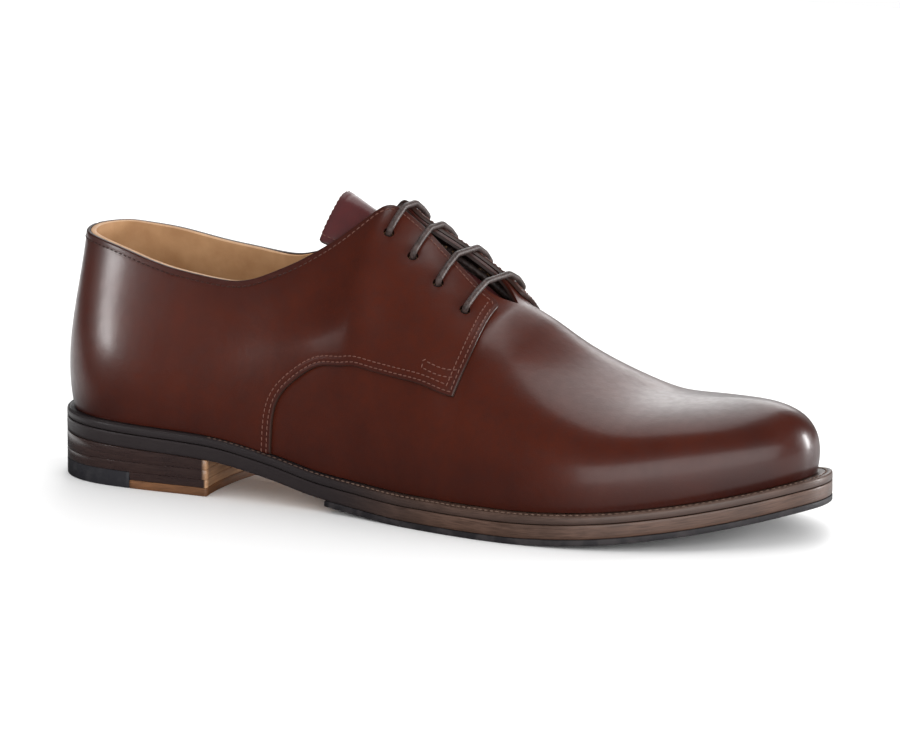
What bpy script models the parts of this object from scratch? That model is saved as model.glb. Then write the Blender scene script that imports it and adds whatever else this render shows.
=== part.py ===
"""Derby shoe for the right foot, in metres.

The toe points to -Y, the medial side to +X, and the shoe stands on z = 0. A place on the shoe is first
worked out as (reach, side, height): reach runs from the back of the sole to its toe, side is positive
towards the medial side, and height is above the floor.
"""

import math
from collections import namedtuple

import bmesh
import bpy
import numpy as np

MM = 0.001

# The sole, seen from above
SOLE_LENGTH = 305 * MM
HEEL_WIDTH = 68 * MM
WAIST_WIDTH = 66 * MM
BALL_WIDTH = 107 * MM
TOE_SWING = 6 * MM
WELT_SHOW_HEEL = 3.0 * MM
WELT_SHOW_FORE = 5.5 * MM

# The sole, layer by layer
SEAT_HEIGHT = 16.6 * MM
BREAST_HEIGHT = 13.6 * MM
HEEL_LENGTH = 74 * MM
TOE_SPRING = 12.5 * MM
HALF_SOLE = 2.0 * MM
OUTSOLE = 5.2 * MM
WELT = 3.0 * MM
CLEAR = 0.3 * MM

# The last, above the welt
BACK_HEIGHT = 66.5 * MM
ANKLE_HEIGHT = 57 * MM
MEDIAL_RISE = 3 * MM
INSTEP_HEIGHT = 96 * MM
TOE_HEIGHT = 32.5 * MM
COLLAR_WIDTH = 48 * MM
FACING_GAP = 14 * MM

# Leather
UPPER_WALL = 2.0 * MM
QUARTER = 1.3 * MM
TONGUE = 1.6 * MM
TONGUE_BEYOND = 23 * MM
INSOLE = 3.0 * MM
WELT_SEAT = 4.2 * MM

# The heel below the outsole
TOP_PIECE = 6.0 * MM
BARE_STRIP = 3.0 * MM
LIFT = 3.4 * MM
RUBBER_LENGTH = 41 * MM
BREAST_HOLLOW = 4 * MM
HALF_SOLE_START = 126 * MM

# The lace and its holes
LACE_RADIUS = 1.2 * MM
HOLE_RADIUS = 2.0 * MM
LACE_BEND = 1.3 * MM
LACE_OVER = 0.4 * MM

# Half widths of the sole, as shares of the width that each row follows
Girth = namedtuple("Girth", "reach lateral medial follows")
SOLE_OUTLINE = (
    Girth(0.013, 0.235, 0.235, HEEL_WIDTH),
    Girth(0.036, 0.365, 0.36, HEEL_WIDTH),
    Girth(0.070, 0.455, 0.45, HEEL_WIDTH),
    Girth(0.120, 0.497, 0.492, HEEL_WIDTH),
    Girth(0.220, 0.515, 0.480, WAIST_WIDTH),
    Girth(0.320, 0.535, 0.450, WAIST_WIDTH),
    Girth(0.420, 0.590, 0.465, WAIST_WIDTH),
    Girth(0.520, 0.430, 0.345, BALL_WIDTH),
    Girth(0.600, 0.480, 0.420, BALL_WIDTH),
    Girth(0.680, 0.505, 0.475, BALL_WIDTH),
    Girth(0.755, 0.492, 0.494, BALL_WIDTH),
    Girth(0.830, 0.430, 0.478, BALL_WIDTH),
    Girth(0.895, 0.335, 0.425, BALL_WIDTH),
    Girth(0.950, 0.210, 0.335, BALL_WIDTH),
    Girth(0.985, 0.080, 0.222, BALL_WIDTH),
)

# Height of the outsole's underside
Level = namedtuple("Level", "reach rise follows base")
FOREPART = HALF_SOLE + CLEAR
UNDERSIDE = (
    Level(0.00, 1.00, SEAT_HEIGHT, 0),
    Level(0.12, 0.91, SEAT_HEIGHT, 0),
    Level(0.24, 1.00, BREAST_HEIGHT, 0),
    Level(0.33, 0.70, BREAST_HEIGHT, 0),
    Level(0.40, 0.38, BREAST_HEIGHT, 0),
    Level(0.46, 0.09, BREAST_HEIGHT, FOREPART),
    Level(0.53, 0.00, BREAST_HEIGHT, FOREPART),
    Level(0.67, 0.00, TOE_SPRING, FOREPART),
    Level(0.77, 0.10, TOE_SPRING, FOREPART),
    Level(0.87, 0.38, TOE_SPRING, FOREPART),
    Level(0.94, 0.68, TOE_SPRING, FOREPART),
    Level(1.00, 1.00, TOE_SPRING, FOREPART),
)

# Sections of the upper, from the back seam round to the toe. Each rises from the feather line to the top
# edge or the ridge. fan turns a section's plane from straight back (-90) over straight across (0) to
# straight ahead (90), slope is the steepness at its top and lean the steepness at its foot, in degrees.
Section = namedtuple("Section", "around reach half half_of rise rise_of fan slope lean foot_pull top_pull")
SECTIONS = (
    Section(0.000, 0.0255, 0.00, COLLAR_WIDTH, 1.000, BACK_HEIGHT, -90, 84, 79, 0.36, 0.36),
    Section(0.080, 0.044, 0.33, COLLAR_WIDTH, 0.995, BACK_HEIGHT, -46, 83, 79, 0.36, 0.36),
    Section(0.150, 0.096, 0.455, COLLAR_WIDTH, 0.962, BACK_HEIGHT, -10, 82, 80, 0.36, 0.36),
    Section(0.220, 0.184, 0.50, COLLAR_WIDTH, 1.025, ANKLE_HEIGHT, 0, 81, 83, 0.38, 0.36),
    Section(0.280, 0.256, 0.495, COLLAR_WIDTH, 1.000, ANKLE_HEIGHT, 0, 78, 86, 0.40, 0.36),
    Section(0.340, 0.325, 0.45, COLLAR_WIDTH, 0.697, INSTEP_HEIGHT, 0, 70, 88, 0.42, 0.36),
    Section(0.390, 0.381, 0.35, COLLAR_WIDTH, 0.838, INSTEP_HEIGHT, 0, 58, 89, 0.43, 0.36),
    Section(0.425, 0.418, 0.21, COLLAR_WIDTH, 0.952, INSTEP_HEIGHT, 0, 42, 89, 0.44, 0.35),
    Section(0.447, 0.440, 0.11, COLLAR_WIDTH, 1.008, INSTEP_HEIGHT, 0, 30, 89, 0.45, 0.34),
    Section(0.470, 0.466, 0.20, FACING_GAP, 0.962, INSTEP_HEIGHT, 0, 24, 89, 0.45, 0.36),
    Section(0.510, 0.520, 0.50, FACING_GAP, 0.862, INSTEP_HEIGHT, 0, 22, 88, 0.45, 0.34),
    Section(0.550, 0.566, 0.64, FACING_GAP, 0.760, INSTEP_HEIGHT, 0, 18, 87, 0.45, 0.35),
    Section(0.570, 0.590, 0.36, FACING_GAP, 0.702, INSTEP_HEIGHT, 0, 7, 87, 0.45, 0.36),
    Section(0.582, 0.602, 0.00, FACING_GAP, 0.680, INSTEP_HEIGHT, 0, 0, 86, 0.45, 0.37),
    Section(0.640, 0.664, 0.00, FACING_GAP, 0.553, INSTEP_HEIGHT, 0, 0, 84, 0.46, 0.40),
    Section(0.700, 0.727, 0.00, FACING_GAP, 0.446, INSTEP_HEIGHT, 0, 0, 82, 0.48, 0.44),
    Section(0.760, 0.783, 0.00, FACING_GAP, 1.088, TOE_HEIGHT, 8, 0, 80, 0.50, 0.48),
    Section(0.830, 0.826, 0.00, FACING_GAP, 1.034, TOE_HEIGHT, 28, 0, 79, 0.52, 0.51),
    Section(0.910, 0.852, 0.00, FACING_GAP, 1.010, TOE_HEIGHT, 57, 0, 78, 0.53, 0.53),
    Section(1.000, 0.866, 0.00, FACING_GAP, 1.000, TOE_HEIGHT, 90, 0, 77, 0.53, 0.54),
)

# Lower edge of the quarters: shares of the way round and of the section's curve
Seam = namedtuple("Seam", "around up")
QUARTER_SEAM = (
    Seam(0.3380, 0.000),
    Seam(0.3395, 0.090),
    Seam(0.3415, 0.167),
    Seam(0.3455, 0.237),
    Seam(0.3530, 0.297),
    Seam(0.3650, 0.347),
    Seam(0.3800, 0.385),
    Seam(0.3960, 0.402),
    Seam(0.4160, 0.380),
    Seam(0.4400, 0.344),
    Seam(0.4710, 0.343),
    Seam(0.5030, 0.367),
    Seam(0.5270, 0.386),
    Seam(0.5510, 0.392),
    Seam(0.5740, 0.378),
)
# Upper edge of the quarters where they leave the top edge of the lining, down to their lower front corner
FACING_EDGE = (
    Seam(0.4900, 1.000),
    Seam(0.5170, 0.992),
    Seam(0.5410, 0.980),
    Seam(0.5580, 0.962),
    Seam(0.5690, 0.935),
    Seam(0.5745, 0.890),
)
QUARTER_FRONT = (
    Seam(0.5740, 0.378),
    Seam(0.5775, 0.480),
    Seam(0.5785, 0.600),
    Seam(0.5760, 0.780),
    Seam(0.5745, 0.890),
)
EYELETS = (
    Seam(0.459, 0.872),
    Seam(0.487, 0.850),
    Seam(0.518, 0.828),
    Seam(0.553, 0.802),
)

# Columns and rows of the upper's mesh
AROUND = np.array((
    0, 0.03, 0.06, 0.095, 0.13, 0.17, 0.21, 0.25, 0.29, 0.338, 0.3415, 0.347, 0.356, 0.37, 0.386, 0.402,
    0.42, 0.438, 0.455, 0.475, 0.495, 0.515, 0.535, 0.555, 0.567, 0.576, 0.582, 0.605, 0.635, 0.665, 0.7,
    0.735, 0.77, 0.8, 0.83, 0.865, 0.9, 0.94, 0.97, 1,
))
UP = np.linspace(0, 1, 12)


def spline(xs, ys, x):
    """Natural cubic spline through the points (xs, ys), read at x."""
    xs, ys, x = (np.asarray(a, float) for a in (xs, ys, x))
    step = np.diff(xs)
    rise = np.diff(ys) / step
    system = np.diag(np.r_[1, 2 * (step[:-1] + step[1:]), 1])
    system += np.diag(np.r_[step[:-1], 0], -1) + np.diag(np.r_[0, step[1:]], 1)
    bend = np.linalg.solve(system, np.r_[0, 6 * np.diff(rise), 0])
    i = np.clip(np.searchsorted(xs, x) - 1, 0, len(step) - 1)
    a, b = xs[i + 1] - x, x - xs[i]
    return (
        (bend[i] * a**3 + bend[i + 1] * b**3) / (6 * step[i])
        + (ys[i] / step[i] - bend[i] * step[i] / 6) * a
        + (ys[i + 1] / step[i] - bend[i + 1] * step[i] / 6) * b
    )


def level(xs, ys, x, flat_ends=False):
    """Cubic through the points that never rises or dips between two of them, so that flats stay flat."""
    xs, ys, x = (np.asarray(a, float) for a in (xs, ys, x))
    step = np.diff(xs)
    rise = np.diff(ys) / step
    turn = rise[:-1] * rise[1:] <= 0
    slope = np.where(turn, 0, 2 * rise[:-1] * rise[1:] / np.where(turn, 1, rise[:-1] + rise[1:]))
    slope = np.r_[0, slope, 0] if flat_ends else np.r_[rise[0], slope, rise[-1]]
    i = np.clip(np.searchsorted(xs, x) - 1, 0, len(step) - 1)
    t = (x - xs[i]) / step[i]
    return (
        ys[i] * (1 + 2 * t) * (1 - t) ** 2
        + ys[i + 1] * t**2 * (3 - 2 * t)
        + step[i] * (slope[i] * t * (1 - t) ** 2 - slope[i + 1] * t**2 * (1 - t))
    )


def ease(x, low, high):
    """0 up to low, 1 from high on, and a smooth step between."""
    t = np.clip((np.asarray(x, float) - low) / (high - low), 0, 1)
    return t * t * (3 - 2 * t)


def underside(reach):
    """Height of the outsole's underside above the floor."""
    shares = [row.reach for row in UNDERSIDE]
    return level(shares, [row.rise * row.follows + row.base for row in UNDERSIDE], reach / SOLE_LENGTH)


def welt_top(reach):
    return underside(reach) + OUTSOLE + CLEAR + WELT


def closed_outline(count=720):
    """The sole's outline as points (reach, side), from the heel round the lateral side to the toe and back."""
    heel, toe = (0.0, 0.0), (SOLE_LENGTH, TOE_SWING)
    lateral = [(row.reach * SOLE_LENGTH, -row.lateral * row.follows) for row in SOLE_OUTLINE]
    medial = [(row.reach * SOLE_LENGTH, row.medial * row.follows) for row in reversed(SOLE_OUTLINE)]
    loop = np.array([heel, *lateral, toe, *medial])
    wrap = 4
    around = np.concatenate([loop[-wrap:], loop, loop[: wrap + 1]])
    along = np.r_[0, np.cumsum(np.hypot(*np.diff(around, axis=0).T))]
    start, end = along[wrap], along[wrap + len(loop)]
    at = np.linspace(start, end, count, endpoint=False)
    return np.stack([spline(along, around[:, k], at) for k in (0, 1)], axis=1)


def moved_in(outline, by):
    """The closed outline with each point moved inwards by its own distance."""
    along = np.roll(outline, -1, axis=0) - np.roll(outline, 1, axis=0)
    along /= np.hypot(*along.T)[:, None]
    # The loop runs clockwise seen from above with the toe ahead, so its inside is on the right
    inward = np.stack([-along[:, 1], along[:, 0]], axis=1)
    return outline + inward * np.broadcast_to(by, len(outline))[:, None]


def side_of(outline, side, around):
    """Points of one side of a closed outline at these shares of the way from its back to its toe."""
    toe = int(np.argmax(outline[:, 0]))
    back = int(np.argmin(outline[:, 0]))
    loop = np.roll(outline, -back, axis=0)
    toe = (toe - back) % len(outline)
    half = loop[: toe + 1] if side < 0 else np.concatenate([loop[:1], loop[:toe - 1:-1]])
    along = np.r_[0, np.cumsum(np.hypot(*np.diff(half, axis=0).T))]
    return np.stack([np.interp(np.asarray(around) * along[-1], along, half[:, k]) for k in (0, 1)], axis=-1)


SOLE = closed_outline()
FEATHER = moved_in(SOLE, WELT_SHOW_HEEL + (WELT_SHOW_FORE - WELT_SHOW_HEEL) * ease(SOLE[:, 0] / SOLE_LENGTH, 0.3, 0.55))


def column_of(name, around):
    """One column of SECTIONS, read at these places round the shoe."""
    values = [getattr(row, name) for row in SECTIONS]
    return level([row.around for row in SECTIONS], values, around, flat_ends=name != "fan")


def ridge_dip(around):
    """Angle at which the ridge falls towards the toe."""
    at = np.linspace(SECTIONS[13].around, 1, 80)
    reach = column_of("reach", at) * SOLE_LENGTH
    height = top_rise(at) + welt_top(reach)
    dip = np.arctan2(-np.gradient(height), np.gradient(reach))
    return np.interp(around, at, dip)


def top_rise(around):
    """Height of the top edge above the welt."""
    scaled = [row.rise * row.rise_of for row in SECTIONS]
    return level([row.around for row in SECTIONS], scaled, around, flat_ends=True)


def sections(side, around):
    """The four corners of each section's curve, foot to top, as an array (4, sections, 3)."""
    around = np.asarray(around, float)
    foot = side_of(FEATHER, side, around)
    along = side_of(FEATHER, side, np.minimum(around + 0.004, 1)) - side_of(FEATHER, side, np.maximum(around - 0.004, 0))
    along /= np.hypot(*along.T)[:, None]
    outward = side * np.stack([-along[:, 1], along[:, 0]], axis=1)
    outward[around <= 0] = (-1, 0)
    outward[around >= 1] = (1, 0)
    foot = np.column_stack([foot, welt_top(foot[:, 0])])

    reach = column_of("reach", around) * SOLE_LENGTH
    halves = [row.half * row.half_of for row in SECTIONS]
    half = level([row.around for row in SECTIONS], halves, around)
    centre = TOE_SWING * ease(reach / SOLE_LENGTH, 0.05, 0.9)
    rise = top_rise(around)
    if side > 0:
        rise = rise + MEDIAL_RISE * ease(around, 0.1, 0.25) * (1 - ease(around, 0.3, 0.42))
    top = np.column_stack([reach, centre + side * half, welt_top(reach) + rise])

    lean, fan, slope = (np.radians(column_of(name, around)) for name in ("lean", "fan", "slope"))
    dip = ridge_dip(around) * (fan > 0)
    chord = np.linalg.norm(top - foot, axis=1)[:, None]
    up = np.array([0, 0, 1.0])
    rising = np.column_stack([outward * np.cos(lean)[:, None], np.sin(lean)])
    leaving = np.column_stack([np.sin(fan) * np.cos(dip), side * np.cos(fan), -np.sin(fan) * np.sin(dip)])
    leaving = leaving * np.cos(slope)[:, None] - up * np.sin(slope)[:, None]
    low = foot + rising * chord * column_of("foot_pull", around)[:, None]
    high = top + leaving * chord * column_of("top_pull", around)[:, None]
    return np.stack([foot, low, high, top])


def along_curve(corners, up):
    """Points on the sections' curves at the shares up, which may differ from section to section."""
    t = np.asarray(up)[..., None]
    foot, low, high, top = corners
    return foot * (1 - t) ** 3 + 3 * low * t * (1 - t) ** 2 + 3 * high * t**2 * (1 - t) + top * t**3


def sink(around, up):
    """How far the lining lies in where a quarter covers it, so that the quarter ends up on the last's line."""
    behind = 1 - ease(around, 0.22, 0.42)
    above = ease(up, 0.5, 0.8) * (1 - ease(around, 0.565, 0.62))
    return QUARTER * (1 - (1 - behind) * (1 - above))


def skin(side, around, up, out=0.0):
    """Points of the upper's outer surface, moved outwards by out. The arguments are broadcast together."""
    around, up, out = np.broadcast_arrays(around, up, out)
    shape = around.shape + (3,)
    around, up, out = (a.ravel().astype(float) for a in (around, up, out))
    step = 0.003
    place = along_curve(sections(side, around), up)
    before, after = np.maximum(around - step, 0), np.minimum(around + step, 1)
    ahead = along_curve(sections(side, after), up) - along_curve(sections(side, before), up)
    corners = sections(side, around)
    rising = along_curve(corners, np.minimum(up + step, 1)) - along_curve(corners, np.maximum(up - step, 0))
    normal = side * np.cross(rising, ahead)
    normal[around <= 0, 1] = 0
    normal[around >= 1, 1] = 0
    normal /= np.linalg.norm(normal, axis=-1)[:, None]
    return (place + normal * (out - sink(around, up))[:, None]).reshape(shape)


def place(points):
    """(reach, side, height) to the shoe's own frame."""
    points = np.asarray(points, float)
    middle = (SOLE[:, 1].max() + SOLE[:, 1].min()) / 2
    return np.stack([points[..., 1] - middle, SOLE_LENGTH / 2 - points[..., 0], points[..., 2]], axis=-1)


def material(name, colour, roughness):
    made = bpy.data.materials.new(name)
    made.use_nodes = True
    shader = made.node_tree.nodes["Principled BSDF"]
    shader.inputs["Base Color"].default_value = (*colour, 1)
    shader.inputs["Roughness"].default_value = roughness
    return made


def solid(name, points, faces, look):
    """An object from points (reach, side, height) and faces, its doubled points merged."""
    mesh = bpy.data.meshes.new(name)
    mesh.from_pydata(place(points).reshape(-1, 3).tolist(), [], faces)
    work = bmesh.new()
    work.from_mesh(mesh)
    bmesh.ops.remove_doubles(work, verts=work.verts, dist=0.02 * MM)
    bmesh.ops.dissolve_degenerate(work, edges=work.edges, dist=0.001 * MM)
    bmesh.ops.recalc_face_normals(work, faces=work.faces)
    work.to_mesh(mesh)
    work.free()
    mesh.materials.append(look)
    made = bpy.data.objects.new(name, mesh)
    bpy.context.scene.collection.objects.link(made)
    return made


def quads(rows, columns, first=0):
    """Faces of a grid whose points run row by row."""
    return [
        (first + i * columns + j, first + i * columns + j + 1, first + (i + 1) * columns + j + 1, first + (i + 1) * columns + j)
        for i in range(rows - 1)
        for j in range(columns - 1)
    ]


def thicken(made, thickness, outwards):
    """Give a sheet its thickness on one side of itself."""
    shell = made.modifiers.new("wall", "SOLIDIFY")
    shell.thickness = thickness
    shell.offset = 1 if outwards else -1
    shell.use_even_offset = True
    shell.use_rim = True


def slab(name, plan, bottom, top, look):
    """A solid between two heights over a grid of places (rows, columns, 2)."""
    rows, columns = plan.shape[:2]
    count = rows * columns
    heights = [np.broadcast_to(h, (rows, columns)) for h in (bottom, top)]
    points = np.concatenate([np.dstack([plan, h]).reshape(-1, 3) for h in heights])
    faces = [face[::-1] for face in quads(rows, columns)] + quads(rows, columns, count)
    rim = [i * columns for i in range(rows)] + [(rows - 1) * columns + j for j in range(1, columns)]
    rim += [i * columns + columns - 1 for i in range(rows - 2, -1, -1)] + list(range(columns - 2, 0, -1))
    faces += [(a, b, b + count, a + count) for a, b in zip(rim, rim[1:] + rim[:1])]
    return solid(name, points, faces, look)


def rungs(outline, start, end, count, columns=5, hollow_start=0.0, hollow_end=0.0):
    """Places across a closed outline between two reaches, the first and last row hollowed towards the heel."""
    back, toe = outline[:, 0].min(), outline[:, 0].max()
    t = np.linspace(0, 1, count)
    low, high = start <= back, end >= toe
    if low and high:
        t = 0.5 * t + 0.25 * (1 - np.cos(np.pi * t))
        t = np.unique(np.r_[t, 0.0015, 0.006, 0.994, 0.9985])
    elif low:
        t = np.unique(np.r_[t**1.4, 0.004, 0.02])
    elif high:
        t = np.unique(np.r_[1 - (1 - t) ** 1.4, 0.98, 0.996])
    start, end = max(start, back), min(end, toe)
    reach = start + (end - start) * t
    sides = []
    tip = int(np.argmax(outline[:, 0]))
    rear = int(np.argmin(outline[:, 0]))
    loop = np.roll(outline, -rear, axis=0)
    tip = (tip - rear) % len(outline)
    lateral = loop[: tip + 1]
    medial = np.concatenate([loop[:1], loop[:tip - 1:-1]])
    for half in (lateral, medial):
        order = np.argsort(half[:, 0])
        sides.append(np.interp(reach, half[order, 0], half[order, 1]))
    across = np.linspace(0, 1, columns)
    side = sides[0][:, None] + (sides[1] - sides[0])[:, None] * across
    dip = hollow_start * (1 - t)[:, None] + hollow_end * t[:, None]
    back_by = dip * (1 - (2 * across - 1) ** 2)
    return np.dstack([reach[:, None] - back_by, side])


def build_sole():
    dark_edge = material("sole_edge", (0.10, 0.055, 0.035), 0.4)
    plan = rungs(SOLE, -1, 1, 36, 3)
    base = underside(plan[..., 0])
    slab("outsole", plan, base, base + OUTSOLE, dark_edge)

    plan = rungs(SOLE, HALF_SOLE_START, 1, 26, 3)
    base = underside(plan[..., 0]) - CLEAR
    slab("half_sole", plan, base - HALF_SOLE, base, material("half_sole", (0.02, 0.02, 0.022), 0.6))

    # Welt: a ring under the edge of the upper
    steps = 90
    pick = np.linspace(0, len(SOLE), steps, endpoint=False).astype(int)
    inner = moved_in(FEATHER, WELT_SEAT)
    corners = []
    for loop, raised in ((SOLE, 0), (inner, 0), (inner, WELT), (SOLE, WELT)):
        ring = loop[pick]
        corners.append(np.column_stack([ring, underside(ring[:, 0]) + OUTSOLE + CLEAR + raised]))
    faces = [
        (k * steps + i, k * steps + (i + 1) % steps, (k + 1) % 4 * steps + (i + 1) % steps, (k + 1) % 4 * steps + i)
        for k in range(4)
        for i in range(steps)
    ]
    solid("welt", np.concatenate(corners), faces, material("welt", (0.06, 0.03, 0.025), 0.4))

    plan = rungs(moved_in(FEATHER, WELT_SEAT + CLEAR), -1, 1, 32, 3)
    base = underside(plan[..., 0]) + OUTSOLE + CLEAR
    slab("insole", plan, base, base + INSOLE, material("insole", (0.45, 0.27, 0.14), 0.6))


def build_heel():
    stacked = material("heel_lift", (0.055, 0.03, 0.022), 0.35)
    whole = rungs(SOLE, -1, HEEL_LENGTH, 16, 7, hollow_end=BREAST_HOLLOW)
    level_two = TOP_PIECE + CLEAR
    level_three = level_two + LIFT + CLEAR
    slab("heel_lift_top", whole, level_three, underside(whole[..., 0]) - CLEAR, stacked)
    slab("heel_lift_middle", whole, level_two, level_two + LIFT, stacked)
    rear = rungs(SOLE, -1, RUBBER_LENGTH, 12, 5)
    slab("heel_top_rubber", rear, 0, TOP_PIECE, material("top_rubber", (0.015, 0.016, 0.02), 0.5))
    front = rungs(SOLE, RUBBER_LENGTH + CLEAR, HEEL_LENGTH, 4, 7, hollow_end=BREAST_HOLLOW)
    slab("heel_lift_front", front, BARE_STRIP + CLEAR, TOP_PIECE, stacked)
    slab("heel_top_leather", front, 0, BARE_STRIP, material("bare_leather", (0.38, 0.2, 0.1), 0.6))


def both_sides(around, up, out):
    """A grid over the whole shoe: columns from the lateral back round the toe to the medial back."""
    lateral = skin(-1, around[None], up[:, None], out)
    medial = skin(1, around[None], up[:, None], out)
    return np.concatenate([lateral, medial[:, ::-1]], axis=1)


def build_upper(punch):
    grid = both_sides(AROUND, UP, 0)
    grid[..., 2] += CLEAR
    rows, columns = grid.shape[:2]
    faces = quads(rows, columns)
    vamp = solid("upper", grid.reshape(-1, 3), faces, material("vamp", (0.17, 0.045, 0.025), 0.3))
    thicken(vamp, UPPER_WALL, outwards=False)
    cut(vamp, punch)


def read(table, around):
    return np.interp(around, [row.around for row in table], [row.up for row in table])


def build_quarter(name, side, punch, look):
    columns = AROUND[AROUND < 0.574]
    columns[0] = 0.0006
    low = np.where(columns < QUARTER_SEAM[0].around, 0, read(QUARTER_SEAM, columns))
    high = read(FACING_EDGE, columns)
    up = np.broadcast_to(UP[:, None], (len(UP), len(columns))).copy()
    snap = 0.3 * UP[1]
    up = np.where(up < low + snap, low, up)
    up = np.where(up > high - snap, high, up)
    up[-1] = high
    around = np.broadcast_to(columns, up.shape)
    # The front edge leans, so its column reads its own place at each height
    front_up = np.clip(UP, QUARTER_FRONT[0].up, QUARTER_FRONT[-1].up)
    front_up = np.where(front_up < QUARTER_FRONT[0].up + snap, QUARTER_FRONT[0].up, front_up)
    front = np.interp(front_up, [row.up for row in QUARTER_FRONT], [row.around for row in QUARTER_FRONT])
    up = np.column_stack([up, front_up])
    around = np.column_stack([around, front])
    grid = skin(side, around, up, CLEAR)
    grid[..., 2] += CLEAR
    faces = quads(*up.shape)
    if side > 0:
        faces = [face[::-1] for face in faces]
    made = solid(name, grid.reshape(-1, 3), faces, look)
    thicken(made, QUARTER, outwards=True)
    cut(made, punch)


def tongue_grid(out):
    """Places of the tongue's outer face: rows along it from its top, columns across it."""
    stations = np.array((0.455, 0.48, 0.505, 0.53, 0.555, 0.58, 0.605, 0.63))
    ups = np.array((0.71, 0.77, 0.83, 0.89, 0.96))
    rows = []
    across = np.linspace(0, 1, 15)
    for around in stations:
        lateral = skin(-1, around, ups, out)
        medial = skin(1, around, ups, out)
        nodes = np.concatenate([lateral, medial[::-1]])
        along = np.r_[0, np.cumsum(np.linalg.norm(np.diff(nodes, axis=0), axis=1))]
        rows.append(np.stack([spline(along, nodes[:, k], across * along[-1]) for k in range(3)], axis=1))
    rows = np.array(rows)
    first = rows[0]
    middle = first[len(across) // 2]
    beyond = []
    # Share of the way to the end, and of the first section's width: pinched where the collar closes on it
    for share, narrow in ((1.0, 0.68), (0.97, 0.73), (0.88, 0.73), (0.7, 0.65), (0.45, 0.62), (0.2, 0.74)):
        corner = 1 - 0.12 * max(0, (share - 0.8) / 0.2) ** 2
        row = middle + (first - middle) * (1, narrow, corner)
        drop = (middle[2] - row[:, 2])[:, None] * share
        row = row + share * TONGUE_BEYOND * np.array([-0.9, 0.04, 0.43]) - drop * (0.35, 0, 0)
        beyond.append(row)
    return np.concatenate([np.array(beyond), rows])


def build_tongue():
    clear = UPPER_WALL + 2 * LACE_RADIUS + 1.6 * MM
    grid = tongue_grid(-clear)
    made = solid("tongue", grid.reshape(-1, 3), quads(*grid.shape[:2]), material("tongue", (0.11, 0.03, 0.03), 0.4))
    thicken(made, TONGUE, outwards=False)


def bent(corners, radius, steps=3):
    """The line through the corners with each corner rounded."""
    path = [corners[0]]
    for before, here, after in zip(corners, corners[1:], corners[2:]):
        back, ahead = before - here, after - here
        room = min(np.linalg.norm(back), np.linalg.norm(ahead)) / 2
        back, ahead = back / np.linalg.norm(back), ahead / np.linalg.norm(ahead)
        angle = math.acos(max(-1, min(1, float(back @ ahead))))
        if angle > math.radians(172):
            path.append(here)
            continue
        reach = min(radius / math.tan(angle / 2), room * 0.95)
        for t in np.linspace(0, 1, steps + 1):
            path.append(here + back * reach * (1 - t) ** 2 + ahead * reach * t**2)
    path.append(corners[-1])
    return path


def build_lace():
    over = CLEAR + QUARTER + LACE_OVER + LACE_RADIUS
    under = -(UPPER_WALL + 0.55 * MM + LACE_RADIUS)
    top, second, third, bottom = EYELETS

    def shaft(side, eyelet, inwards):
        ends = [skin(side, eyelet.around, eyelet.up, out) for out in (over, under)]
        return ends if inwards else ends[::-1]

    def bar(eyelet, side):
        """Over the facings from one side to the other, down both holes' outer ends."""
        ups = (0.5 * eyelet.up + 0.5, 1.0)
        start = [skin(side, eyelet.around, up, over) for up in ups]
        finish = [skin(-side, eyelet.around, up, over) for up in ups]
        return start + finish[::-1]

    def run(side, start, end, aside=0.0):
        """Inside the facing from one hole to another, drawn aside on the way."""
        t = np.array((0.25, 0.5, 0.75))
        around = start.around + (end.around - start.around) * t
        up = start.up + (end.up - start.up) * t + aside * np.array((0.9, 1, 0.9))
        return list(skin(side, around, up, under))

    lateral, medial = -1, 1
    aside = 0.042
    path = []
    # One end, hidden by the top hole, then up the medial side in two long steps
    tail = Seam(top.around + 0.006, top.up - 0.045)
    path += [skin(lateral, tail.around, tail.up, under)]
    path += [skin(lateral, 0.5 * (tail.around + second.around), second.up - 0.02, under)]
    path += shaft(lateral, second, False) + bar(second, lateral) + shaft(medial, second, True)
    path += run(medial, second, bottom, aside)
    path += shaft(medial, bottom, False) + bar(bottom, medial) + shaft(lateral, bottom, True)
    path += run(lateral, bottom, third)[1:2]
    path += shaft(lateral, third, False) + bar(third, lateral) + shaft(medial, third, True)
    path += run(medial, third, top, -aside)
    path += shaft(medial, top, False) + bar(top, medial) + shaft(lateral, top, True)
    path += [skin(lateral, top.around - 0.012, top.up - 0.05, under)]
    path = place(np.array(bent(path, LACE_BEND)))

    line = bpy.data.curves.new("lace", "CURVE")
    line.dimensions = "3D"
    line.bevel_depth = LACE_RADIUS
    line.bevel_resolution = 2
    line.use_fill_caps = True
    strand = line.splines.new("POLY")
    strand.points.add(len(path) - 1)
    for point, here in zip(strand.points, path):
        point.co = (*here, 1)
    line.materials.append(material("lace", (0.035, 0.02, 0.018), 0.5))
    made = bpy.data.objects.new("lace", line)
    bpy.context.scene.collection.objects.link(made)


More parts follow.
